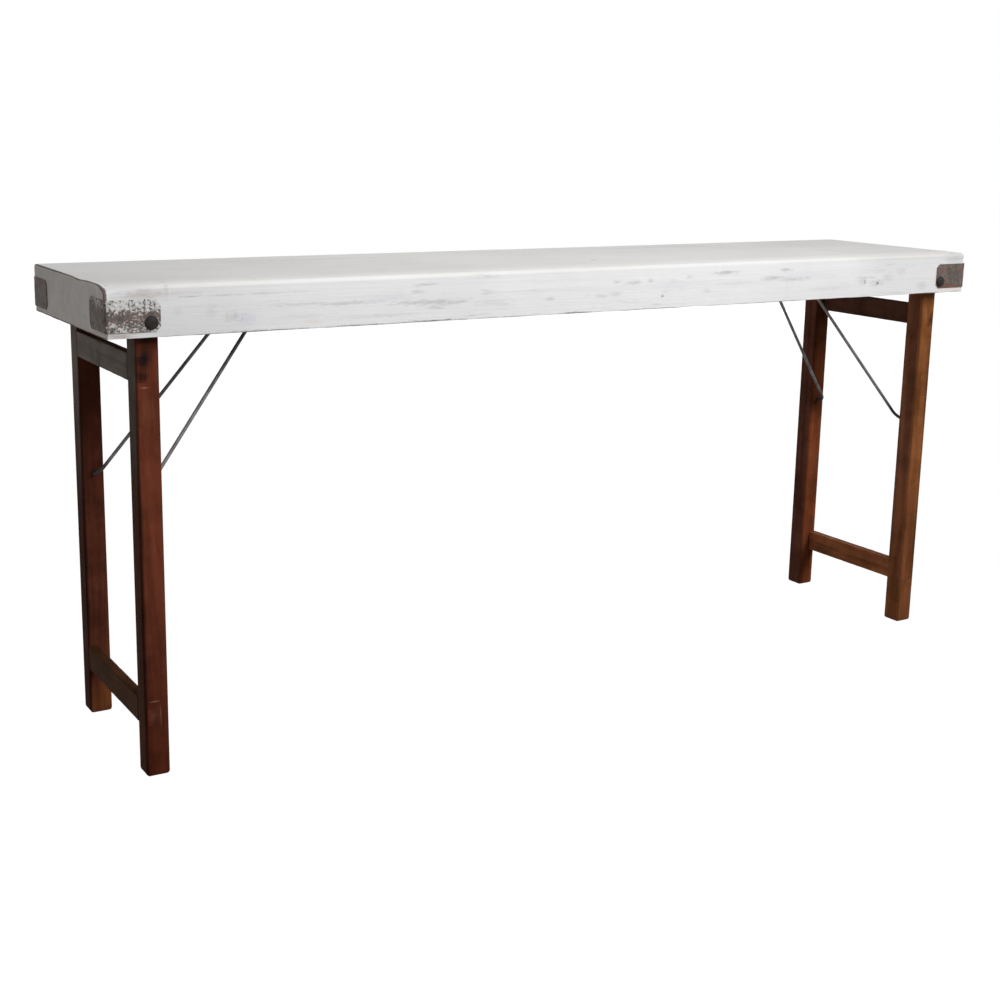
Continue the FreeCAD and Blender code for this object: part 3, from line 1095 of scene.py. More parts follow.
@dataclass
class Stick:
    """A wooden piece, sawn to a box and then worn."""

    name: str
    box: Extent
    run: Axis
    easings: Sequence[Easing] = ()
    arris: float = 0.8 * MM
    pitch: float = 6 * MM
    across: int = 3
    knocks: float = 1.0 * MM
    knock_grain: float = 14 * MM
    edge_reach: float = 3 * MM
    wander: float = 1.0 * MM
    held: frozenset[Side] = frozenset()
    held_depth: float = 0.4 * MM

    def build(self) -> bpy.types.Object:
        """Saws, eases and wears the piece.

        Returns:
            The worn piece.
        """
        piece = block(self.name, self.box)
        crosswise = [axis for axis in Axis if axis != self.run]
        wide = max(crosswise, key=lambda axis: self.box.size[axis.value])
        self._divide(piece, wide, 0.001, self.across)
        self._ease(piece)
        self._divide(piece, self.run, 0.7, max(1, round(self.box.size[self.run.value] / self.pitch)))
        self._wear(piece)
        return piece

    def _divide(self, piece: bpy.types.Object, axis: Axis, share: float, cuts: int) -> None:
        """Divides the piece along one axis.

        Args:
            piece: The piece.
            axis: The axis.
            share: The share of the piece's size that an edge has to reach along it.
            cuts: How many cuts there are.
        """
        with editing(piece):
            choose_edges(piece, lambda edge: reach_of(edge, axis) > share * self.box.size[axis.value])
            bpy.ops.mesh.subdivide(number_cuts=cuts)

    def _on(self, edge: bmesh.types.BMEdge, *sides: Side) -> bool:
        """Whether an edge lies on all of some sides."""
        return all(abs(self.box.inside(vertex.co, side)) < SAME_PLACE for vertex in edge.verts for side in sides)

    def _worn(self, edge: bmesh.types.BMEdge, easing: Easing) -> bool:
        """Whether an easing rounds an edge: edges against a neighbour stay as they are.

        Args:
            edge: The edge.
            easing: The easing.

        Returns:
            Whether it does.
        """
        if len(edge.link_faces) != 2 or edge.calc_face_angle() < WORN_ANGLE:
            return False
        return any(self._on(edge, *place) for place in easing.places) and not any(
            self._on(edge, side) for side in self.held)

    def _ease(self, piece: bpy.types.Object) -> None:
        """Rounds the worn edges, the widest first, and takes the sharpness off the others.

        Args:
            piece: The piece.
        """
        with editing(piece):
            for easing in self.easings:
                choose_edges(piece, lambda edge: self._worn(edge, easing))
                bpy.ops.mesh.bevel(offset=easing.width, segments=easing.steps, affect="EDGES", clamp_overlap=True)
            choose_edges(piece, lambda edge: len(edge.link_faces) == 2 and edge.calc_face_angle() > SHARP_ANGLE)
            bpy.ops.mesh.bevel(offset=self.arris, segments=2, affect="EDGES", clamp_overlap=True)

    def _free(self, point: Vector) -> float:
        """1 on the sides that nothing touches, 0 on the others."""
        return 0.0 if any(self.box.inside(point, side) < self.held_depth for side in self.held) else 1.0

    def _near_edge(self, point: Vector) -> float:
        """1 at the piece's edges, falling to 0 a little way in."""
        depths = sorted(self.box.inside(point, side) for side in Side)
        return (1.0 - depths[1] / self.edge_reach) * self._free(point)

    def _wear(self, piece: bpy.types.Object) -> None:
        """Knocks the edges and lets the faces wander.

        Args:
            piece: The piece.
        """
        weigh(piece, "edges", self._near_edge)
        weigh(piece, "faces", self._free)
        if self.knocks > 0.0:
            press(piece, self.knock_grain, -self.knocks, "edges", middle=KNOCK_LEVEL, contrast=2.2)
        if self.wander > 0.0:
            press(piece, WANDER_GRAIN, self.wander, "faces", layers=1)
        piece.vertex_groups.clear()


# The table's sub-assemblies


class Slot(Enum):
    """The record's material slots."""

    PAINTED = "painted_wood"
    STAINED = "frame_wood"
    RAW = "raw_wood"
    STRAP = "strap_iron"
    NAIL = "nail_iron"
    BOLT = "bolt_steel"


TABLETOP = "tabletop"
BOARDS = ("front_board", "front_board_end_piece", "front_middle_board", "back_middle_board", "back_board")
RAILS = ("front_side_rail", "back_side_rail", "left_end_rail", "right_end_rail")
CROSSPIECES = ("left_batten", "right_batten", "middle_cross_rail")

THIN_PAINT = (0.43, 0.435, 0.445)
BLUISH = (0.53, 0.54, 0.64)
PINK = (0.47, 0.35, 0.335)
PALE_PINK = (0.72, 0.61, 0.57)
RUSTY = (0.34, 0.25, 0.20)
GREY_WEATHERING_AND_SHADE = (0.50, 0.50, 0.50)
SOOTY = (0.045, 0.040, 0.036)

FRONT_MARKS: tuple[Marks, ...] = (
    (THIN_PAINT, 0.8, (
        (-726, 737, 10, 13, 0.22), (-692, 726, 14, 9, 0.36), (-779, 739, 7, 8, 0.22), (-577, 740.5, 60, 3, 0.4),
        (-574, 722, 50, 3, 0.25), (-502, 738.5, 60, 3.8, 0.5), (-350, 734, 76, 4.6, 0.62), (-376, 752.5, 12, 3, 0.5),
        (-230, 727.5, 32, 10, 0.25), (-118, 729, 11, 4, 0.5), (-11, 730, 13, 4, 0.42), (19, 732, 13, 4, 0.45),
        (20, 753, 10, 3.2, 0.45), (56, 750, 20, 4, 0.45), (93, 753, 7, 4, 0.4), (181, 756, 8, 4, 0.4),
        (222, 729.5, 9, 4, 0.35), (266, 761, 30, 3.6, 0.75), (380, 747.5, 28, 4.2, 0.65), (408, 761.5, 17, 3.2, 0.6),
        (369, 745, 22, 4, 0.5), (427, 743, 48, 4, 0.5), (607, 735, 12, 11, 0.42), (646, 728, 20, 7, 0.55),
        (676, 737, 15, 8, 0.42), (710, 749, 15, 8, 0.35), (770, 718, 18, 8, 0.5), (857, 768, 34, 2.6, 0.6),
        (-796, 771, 4, 14, 0.4), (520, 722, 70, 4, 0.25), (-440, 716, 80, 4, 0.25), (300, 740, 70, 5, 0.22),
        (-760, 760, 30, 1.6, 0.6), (-700, 760, 32, 1.6, 0.5), (-640, 760, 30, 1.5, 0.45), (-585, 760, 24, 1.4, 0.3))),
    (BLUISH, 0.6, (
        (-671, 723.5, 20, 12, 0.45), (-430, 745, 60, 9, 0.25), (150, 742, 80, 12, 0.2), (450, 750, 90, 9, 0.2))),
    (PINK, 0.6, ((-832, 765.5, 38, 6, 0.55), (-812, 766, 16, 5, 0.5), (-780, 766, 60, 4, 0.25))),
    (PALE_PINK, 0.5, ((850, 706.5, 50, 6, 0.5), (806, 735, 10, 17, 0.5), (-560, 712, 24, 5, 0.3))),
    (RUSTY, 0.6, ((-868, 706.5, 22, 5.5, 0.6), (-848, 711.3, 42, 2.2, 0.6), (852, 711.3, 40, 2.0, 0.4))),
    # Grey marks; the first, on the rounded right end of the front, is painted shade on that edge.
    (GREY_WEATHERING_AND_SHADE, 0.4, ((862, 774, 30, 15, 0.7), (-848, 777, 42, 6, 0.3), (-838, 760, 52, 11, 0.4))),
    (SOOTY, 0.5, (
        (121, 724.5, 4, 3, 0.5), (648, 727, 4, 3, 0.7), (614, 731, 2.2, 6, 0.5), (-702, 727, 1.6, 7, 0.2),
        (-688, 730, 1.4, 5, 0.16), (-677, 725, 1.4, 6, 0.14), (-694, 734, 8, 1.2, 0.14), (-350, 701.5, 66, 3.6, 1.0),
        (-64, 701.5, 38, 3.4, 1.0), (-205, 701.5, 80, 2.4, 0.7), (-640, 701.5, 90, 2.8, 0.9),
        (-480, 701.5, 60, 2.8, 0.9), (70, 701.5, 60, 2.2, 0.6), (872, 701.5, 22, 2.6, 0.7))),
)


@dataclass
class Tray:
    """The whitewashed boards on their rails, with the raw pieces that cross them underneath."""

    box: Extent = field(default_factory=lambda: Extent.of(*BOARDS, *RAILS))
    left_round: float = 2.5 * MM
    right_round: float = 6 * MM
    long_round: float = 8 * MM
    corner_round: float = 4 * MM
    wander: float = 0.5 * MM
    bolt_head: float = 21 * MM
    bolt_bore: float = 8.6 * MM
    flush: float = 0.1 * MM
    worn: WornCorner = WornCorner()

    @property
    def stains(self) -> list[Stain]:
        """The marks on the front and on the top.

        Returns:
            The stains, those of the lowest kind first.
        """
        top, front = self.box.high.z, self.box.low.y
        return front_stains(front, FRONT_MARKS, 0.65, 1.35 * MM) + [
            Stain((-0.791, -0.161, top), (8 * MM, 3 * MM, 4 * MM), SOOTY, 0.75),
            Stain((0.055, -0.071, top), (10 * MM, 3.5 * MM, 4 * MM), SOOTY, 0.65),
            Stain((-0.70, 0.02, top), (60 * MM, 5 * MM, 4 * MM), GREY_WEATHERING_AND_SHADE, 0.5),
            Stain((-0.40, 0.11, top), (160 * MM, 12 * MM, 4 * MM), GREY_WEATHERING_AND_SHADE, 0.35),
            Stain((0.35, 0.13, top), (220 * MM, 16 * MM, 4 * MM), GREY_WEATHERING_AND_SHADE, 0.3),
            Stain((-0.855, -0.15, top), (34 * MM, 30 * MM, 8 * MM), PALE_PINK, 0.3),
            Stain((0.767, front, top), (66 * MM, 14 * MM, 9 * MM), PALE_PINK, 0.4),
            Stain((self.box.low.x, -0.145, 0.752), (12 * MM, 45 * MM, 16 * MM), GREY_WEATHERING_AND_SHADE, 0.7),
        ]

    def build(self) -> None:
        """Makes every wooden piece of the tray."""
        lengthwise = Whitewash("whitewash_lengthwise", Axis.X, self.box, self.stains, worn=self.worn).material()
        crosswise = Whitewash("whitewash_crosswise", Axis.Y, self.box).material()
        for name in BOARDS:
            install(self._board(name), lengthwise, TABLETOP, Slot.PAINTED, name)
        for name in RAILS:
            rail = self._rail(name)
            finish = lengthwise if rail.dimensions.x > rail.dimensions.y else crosswise
            install(rail, finish, TABLETOP, Slot.PAINTED, name)
        raw = RawWood("raw_softwood", Axis.Y).material()
        for name in CROSSPIECES:
            piece = Stick(name + "_sawn", Extent.of(name), Axis.Y, arris=1.2 * MM, pitch=10 * MM, across=3,
                          held=frozenset({Side.TOP, Side.FRONT, Side.BACK})).build()
            smooth(piece)
            install(piece, raw, TABLETOP, Slot.RAW, name)
        self._nails()

    def _outer(self, box: Extent) -> set[Side]:
        """The sides of a piece that are sides of the whole tray."""
        return {side for side in Side if abs(box.at(side) - self.box.at(side)) < self.flush}

    def _board(self, name: str) -> bpy.types.Object:
        """One board of the top, worn round at the tray's own edges.

        Args:
            name: The board's node.

        Returns:
            The board.
        """
        box = Extent.of(name)
        outer = self._outer(box)
        easings = [Easing(((Side.TOP, side),), self.long_round, 6) for side in (Side.FRONT, Side.BACK) if side in outer]
        rims = ((Side.LEFT, self.left_round), (Side.RIGHT, self.right_round))
        easings += [Easing(((side,),), width) for side, width in rims if side in outer]
        board = Stick(name + "_worn", box, Axis.X, easings, arris=0.2 * MM, across=9, knocks=0.7 * MM,
                      wander=self.wander, held=frozenset(set(Side) - outer)).build()
        if Side.LEFT in outer:
            self._wear_end(board)
        smooth(board)
        return board

    def _wear_end(self, piece: bpy.types.Object) -> None:
        """Wears the left end: the front corner sinks and juts out a little, and the middle is hollow.

        Args:
            piece: A piece of the boards.
        """
        for name, direction, depth, weight in (("sink", "Z", -self.worn.dip, self.worn.sunk),
                                               ("jut", "X", -self.worn.jut, self.worn.jutting)):
            weigh(piece, name, lambda point: weight(point, self.box))
            modify(piece, "DISPLACE", direction=direction, strength=depth, mid_level=0.0, vertex_group=name)
            piece.vertex_groups.clear()

    def _nails(self) -> None:
        """The boards' nails, driven flush with the worn boards."""
        nails = copy_of(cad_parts["board_nails"], "board_nails_flush")
        with editing(nails, "SELECT"):
            bpy.ops.mesh.remove_doubles(threshold=MERGE_WITHIN)
        weigh(nails, "faces", lambda point: 1.0)
        press(nails, WANDER_GRAIN, self.wander, "faces", direction="Z", layers=1)
        nails.vertex_groups.clear()
        self._wear_end(nails)
        smooth(nails)
        iron = Steel("board_nail_iron", (0.70, 0.70, 0.69), (0.60, 0.60, 0.58), 0.0, 0.6)
        install(nails, iron.material(), TABLETOP, Slot.NAIL, "board_nails")

    def _rail(self, name: str) -> bpy.types.Object:
        """One rail under the boards; the side rails' ends are the tray's corners.

        Args:
            name: The rail's node.

        Returns:
            The rail.
        """
        box = Extent.of(name)
        end_rail = box.size.x < box.size.y
        if end_rail:
            easings, held = [], {Side.TOP, Side.FRONT, Side.BACK}
        else:
            outside = Side.FRONT if Side.FRONT in self._outer(box) else Side.BACK
            below = [(outside, Side.BOTTOM)] if outside is Side.BACK else []
            places = ((outside, Side.LEFT), (outside, Side.RIGHT), *below)
            easings, held = [Easing(places, self.corner_round)], {Side.TOP}
        rail = Stick(name + "_worn", box, Axis.Y if end_rail else Axis.X, easings, arris=0.25 * MM, across=4,
                     knocks=0.6 * MM, wander=0.5 * MM, held=frozenset(held)).build()
        if not end_rail:
            bolts = Extent.of("pivot_bolts")
            span = bolts.high.x - bolts.low.x - self.bolt_head
            for end in End:
                place = Vector((end.sign * span / 2, box.middle.y, bolts.middle.z))
                combine(rail, Joinery.BORE, drill(place, Axis.Y, 3 * box.size.y, self.bolt_bore))
        smooth(rail)
        return rail


# A dark strip down the left legs' rounded front corner: grime, and painted shade on the rounding.
CORNER_SHADE_AND_GRIME: Marks = ((0.02, 0.009, 0.006), 0.3, ((-837.5, 350, 5, 420, 0.75),))
LEG_MARKS: dict[tuple[End, Face], tuple[Marks, ...]] = {
    (End.LEFT, Face.FRONT): (
        ((0.21, 0.065, 0.035), 0.5, ((-820, 585, 17, 48, 0.65), (-812, 560, 6, 15, 0.35))),
        ((0.075, 0.018, 0.009), 0.5, ((-826, 520, 12, 20, 0.45), (-815, 455, 9, 26, 0.35))),
        # Near-black marks: the tenon's dark end grain, and at the leg's top painted shadow under the tray.
        ((0.014, 0.009, 0.010), 0.4, ((-825, 668, 18, 26, 1.0), (-820, 699, 28, 14, 0.9), (-828, 641, 15, 13, 0.75))),
        ((0.105, 0.048, 0.036), 0.3, ((-824, 101, 12, 25, 0.35),)),
        ((0.30, 0.155, 0.12), 0.15, ((-825, 623.5, 9, 1.5, 0.9), (-824.5, 125, 12, 1.5, 0.9),
                                     (-814.5, 101, 1.4, 26, 0.5))),
        CORNER_SHADE_AND_GRIME),
    (End.LEFT, Face.BACK): (CORNER_SHADE_AND_GRIME,),
    (End.RIGHT, Face.FRONT): (
        # Dark marks; the last one, at the leg's top, is painted shadow under the tray.
        ((0.06, 0.023, 0.010), 0.4, (
            (837, 560, 7, 190, 0.7), (836, 120, 7, 150, 0.5), (829, 648, 4, 15, 0.6), (823, 633, 8, 6, 0.45),
            (831, 610, 6, 9, 0.4), (833, 470, 6, 30, 0.4), (820, 706, 26, 18, 0.7))),
        ((0.27, 0.13, 0.055), 0.4, ((816, 655, 7, 28, 0.5), (822, 585, 7, 30, 0.3)))),
    (End.RIGHT, Face.BACK): (),
}


@dataclass
class LegFrame:
    """One ladder frame: two legs and the two rails tenoned through them."""

    end: End
    leg_round: float = 5.2 * MM
    leg_top_round: float = 0.985
    rail_round: float = 1.5 * MM
    tenon_thickness: float = 13 * MM
    tenon_height: float = 38 * MM
    tenon_gap: float = 0.3 * MM
    mortise_excess: float = 2 * MM
    bolt_bore: float = 8.2 * MM
    hook_bore: float = 6.8 * MM
    hook_depth: float = 40 * MM
    hook_inset: float = 5 * MM
    hook_height: float = 0.43
    tenon_end: Colour = (0.095, 0.028, 0.012)
    # Each side's colour from the top down, with painted light and shade in it: the grey upper part of the left frame's
    # left sides is a painted sheen, the lighter left sides of the right frame are painted light, and the back right
    # leg's front is darker above about 0.4 m as painted shadow of the tray. The front legs' fronts get darker towards
    # the foot.
    leg_tones_and_light: ClassVar[dict[tuple[End, Face], tuple[FaceTone, ...]]] = {
        (End.LEFT, Face.FRONT): (
            FaceTone(Side.LEFT, (0.200, 0.158, 0.132), (0.055, 0.016, 0.005), 0.70, 0.42),
            FaceTone(Side.FRONT, (0.115, 0.030, 0.016), (0.075, 0.0175, 0.0085), 0.25, 0.05)),
        (End.LEFT, Face.BACK): (
            FaceTone(Side.LEFT, (0.205, 0.168, 0.146), (0.048, 0.008, 0.001), 0.68, 0.32),
            FaceTone(Side.FRONT, (0.078, 0.022, 0.012), (0.120, 0.038, 0.013), 0.08, 0.01)),
        (End.RIGHT, Face.FRONT): (
            FaceTone(Side.LEFT, (0.330, 0.125, 0.065), (0.280, 0.100, 0.042), 0.36, 0.18),
            FaceTone(Side.FRONT, (0.180, 0.064, 0.021), (0.145, 0.050, 0.019), 0.36, 0.18)),
        (End.RIGHT, Face.BACK): (
            FaceTone(Side.LEFT, (0.180, 0.066, 0.042)),
            FaceTone(Side.FRONT, (0.075, 0.021, 0.008), (0.170, 0.046, 0.018), 0.44, 0.35)),
    }
    # Each rail's wood and its left side's colour: a grey painted sheen on the left frame's upper rail, and painted
    # light on the right frame's rails.
    rail_tones_and_light: ClassVar[dict[tuple[End, str], tuple[Colour, Colour]]] = {
        (End.LEFT, "upper"): ((0.090, 0.026, 0.012), (0.245, 0.205, 0.182)),
        (End.LEFT, "lower"): ((0.060, 0.022, 0.010), (0.065, 0.027, 0.010)),
        (End.RIGHT, "upper"): ((0.080, 0.028, 0.014), (0.140, 0.060, 0.040)),
        (End.RIGHT, "lower"): ((0.140, 0.045, 0.017), (0.420, 0.145, 0.058)),
    }

    def build(self) -> None:
        """Makes the legs and rails of this end."""
        body = f"{self.end.label}_leg_frame"
        for face in Face:
            install(*self._leg(face), body, Slot.STAINED, f"{self.end.label}_{face.label}_leg")
        for level in ("upper", "lower"):
            install(*self._rail(level), body, Slot.STAINED, f"{self.end.label}_{level}_rail")

    def _stains(self, face: Face) -> list[Stain]:
        """The marks on the front of one leg, which run over its rails' tenons too."""
        return front_stains(Extent.of(f"{self.end.label}_{face.label}_leg").low.y, LEG_MARKS[self.end, face])

    def _leg(self, face: Face) -> tuple[bpy.types.Object, bpy.types.Material]:
        """One leg: round at the top, worn at the edges and the foot, and bored and mortised.

        Args:
            face: The long side that it stands at.

        Returns:
            The leg and its finish.
        """
        name = f"{self.end.label}_{face.label}_leg"
        box = Extent.of(name)
        half = box.size.x / 2
        easings = [Easing(((Side.TOP, Side.LEFT), (Side.TOP, Side.RIGHT)), self.leg_top_round * half, 10),
                   Easing(((Side.FRONT,), (Side.BACK,), (Side.BOTTOM,)), self.leg_round)]
        leg = Stick(name + "_worn", box, Axis.Z, easings, pitch=7 * MM, across=2, knocks=0.35 * MM,
                    wander=0.15 * MM).build()
        pivot = Vector((box.middle.x, box.middle.y, box.high.z - half))
        combine(leg, Joinery.BORE, drill(pivot, Axis.Y, 2 * box.size.y, self.bolt_bore))
        hook = Vector((box.middle.x, box.middle.y - face.sign * (box.size.y / 2 - self.hook_inset), self.hook_height))
        combine(leg, Joinery.BORE, drill(hook, Axis.Y, self.hook_depth, self.hook_bore))
        for level in ("upper", "lower"):
            mortise = self._tenon_box(level)
            grown = Vector((self.tenon_gap, self.mortise_excess, self.tenon_gap))
            combine(leg, Joinery.BORE, block("mortise", Extent(mortise.low - grown, mortise.high + grown)))
        smooth(leg)
        finish = StainedHardwood(name + "_hardwood", Axis.Z, box, tones=self.leg_tones_and_light[self.end, face],
                                 stains=self._stains(face), edge_shade_and_grime=0.6 if self.end is End.LEFT else 0.3,
                                 shift=self.end.sign + 3.0 * face.sign)
        return leg, finish.material()

    def _tenon_box(self, level: str) -> Extent:
        """The box that both tenons of a rail lie in, right through the frame.

        Args:
            level: The rail's level.

        Returns:
            The box.
        """
        box = Extent.of(f"{self.end.label}_{level}_rail")
        outer, inner = (box.low.x, box.high.x) if self.end is End.LEFT else (box.high.x, box.low.x)
        near = inner + self.end.sign * self.tenon_thickness
        trim = (box.size.z - self.tenon_height) / 2
        low = Vector((min(near, inner), box.low.y, box.low.z + trim))
        high = Vector((max(near, inner), box.high.y, box.high.z - trim))
        return Extent(low, high)

    def _rail(self, level: str) -> tuple[bpy.types.Object, bpy.types.Material]:
        """One rail, with its tenons.

        Args:
            level: The rail's level.

        Returns:
            The rail and its finish.
        """
        name = f"{self.end.label}_{level}_rail"
        box = Extent.of(name)
        reach = Extent.of(f"{self.end.label}_back_leg").low.y
        between = Extent(Vector((box.low.x, -reach, box.low.z)), Vector((box.high.x, reach, box.high.z)))
        places = tuple((side, other) for side in (Side.LEFT, Side.RIGHT) for other in (Side.TOP, Side.BOTTOM))
        rail = Stick(name + "_worn", between, Axis.Y, [Easing(places, self.rail_round, 3)], arris=0.3 * MM, across=2,
                     knocks=0.4 * MM, wander=0.2 * MM, held=frozenset({Side.FRONT, Side.BACK})).build()
        tenons = Stick("tenons", self._tenon_box(level), Axis.Y, arris=0.5 * MM, pitch=60 * MM, across=1, knocks=0.0,
                       wander=0.0).build()
        combine(rail, Joinery.WELD, tenons)
        smooth(rail)
        wood, outside = self.rail_tones_and_light[self.end, level]
        tones = (FaceTone(Side.LEFT, outside), FaceTone(Side.BACK, self.tenon_end),
                 self.leg_tones_and_light[self.end, Face.FRONT][1])
        finish = StainedHardwood(name + "_hardwood", Axis.Y, box, wood=wood, tones=tones, edge_shade_and_grime=0.0,
                                 stains=self._stains(Face.FRONT), shift=self.end.sign + 0.4)
        return rail, finish.material()


@dataclass(frozen=True)
class Strap:
    """One sheet-iron strap, bent round a corner of the tray and a little battered."""

    end: End
    face: Face
    bare: float
    short: float = 0.0
    bend: float = 4 * MM
    clip: float = 7 * MM
    bend_steps: int = 5
    cuts: int = 13
    dents: float = 0.7 * MM
    dent_grain: float = 22 * MM
    edge_round: float = 0.3 * MM
    clearance: float = 0.05 * MM
    undivided: float = 20 * MM

    def build(self, tray: Extent) -> None:
        """Bends the strap round its corner.

        Args:
            tray: The tray's box.
        """
        name = f"{self.end.label}_{self.face.label}_strap"
        box = Extent.of(name)
        out_x, out_y = self.end.sign, self.face.sign
        corner = Vector((tray.high.x * out_x, tray.high.y * out_y, 0.0)) + Vector((out_x, out_y, 0.0)) * self.clearance
        tip_x = (box.low.x if out_x > 0 else box.high.x) + out_x * self.short
        tip_y = box.low.y if out_y > 0 else box.high.y
        bend_x, bend_y = corner.x - out_x * self.bend, corner.y - out_y * self.bend
        strap = added(name + "_bent", "plane", size=1.0)
        strap.location = ((tip_x + bend_x) / 2, corner.y, box.middle.z)
        strap.rotation_euler = (math.pi / 2, 0.0, 0.0)
        strap.scale = (abs(bend_x - tip_x), box.size.z, 1.0)
        settle(strap)
        with editing(strap):
            choose_edges(strap, lambda edge: all(abs(v.co.x - bend_x) < SAME_PLACE for v in edge.verts))
            bpy.ops.mesh.spin(steps=self.bend_steps, angle=out_x * out_y * math.pi / 2,
                              center=(bend_x, bend_y, box.middle.z), axis=(0.0, 0.0, 1.0))
            choose_edges(strap, lambda edge: all(abs(v.co.y - bend_y) < SAME_PLACE for v in edge.verts))
            bpy.ops.mesh.extrude_edges_move(TRANSFORM_OT_translate={"value": (0.0, tip_y - bend_y, 0.0)})
            bpy.ops.mesh.select_all(action="SELECT")
            bpy.ops.mesh.remove_doubles(threshold=MERGE_WITHIN)
            choose_edges(strap, lambda edge: edge.calc_length() > self.undivided)
            bpy.ops.mesh.subdivide(number_cuts=self.cuts)
        self._clip_tips(strap, box, tip_x, tip_y)
        self._face_out(strap)
        weigh(strap, "sheet", lambda point: 1.0)
        press(strap, self.dent_grain, self.dents, "sheet", middle=KNOCK_LEVEL)
        strap.vertex_groups.clear()
        modify(strap, "SOLIDIFY", thickness=max(abs(box.low.x), abs(box.high.x)) - abs(corner.x), offset=1.0,
               use_even_offset=True)
        modify(strap, "BEVEL", width=self.edge_round, segments=2, limit_method="ANGLE", angle_limit=SHARP_ANGLE)
        smooth(strap)
        install(strap, StrapIron(name + "_iron", box, self.bare).material(), TABLETOP, Slot.STRAP, name)

    def _clip_tips(self, strap: bpy.types.Object, box: Extent, tip_x: float, tip_y: float) -> None:
        """Snips the corners off both ends of the strap.

        Args:
            strap: The sheet.
            box: The strap's box.
            tip_x: The tip's place along X, on the side rail.
            tip_y: The tip's place along Y, on the end rail.
        """
        tips = [(Vector((tip_x, 0.0, 0.0)), Vector((-self.end.sign, 0.0, 0.0))),
                (Vector((0.0, tip_y, 0.0)), Vector((0.0, -self.face.sign, 0.0)))]
        for tip, outward in tips:
            for up, level in ((1, box.high.z), (-1, box.low.z)):
                place = tip + Vector((0.0, 0.0, level)) - outward * self.clip
                with editing(strap, "SELECT"):
                    bpy.ops.mesh.bisect(plane_co=place, plane_no=outward + Vector((0.0, 0.0, up)), clear_outer=True)

    def _face_out(self, strap: bpy.types.Object) -> None:
        """Turns the sheet's faces away from the tray, all the same way.

        Args:
            strap: The sheet.
        """
        with editing(strap, "SELECT"):
            bpy.ops.mesh.normals_make_consistent(inside=False)
            mesh = bmesh.from_edit_mesh(strap.data)
            outward = sum(facet.normal.y * self.face.sign + facet.normal.x * self.end.sign for facet in mesh.faces)
            if outward < 0.0:
                bpy.ops.mesh.flip_normals()


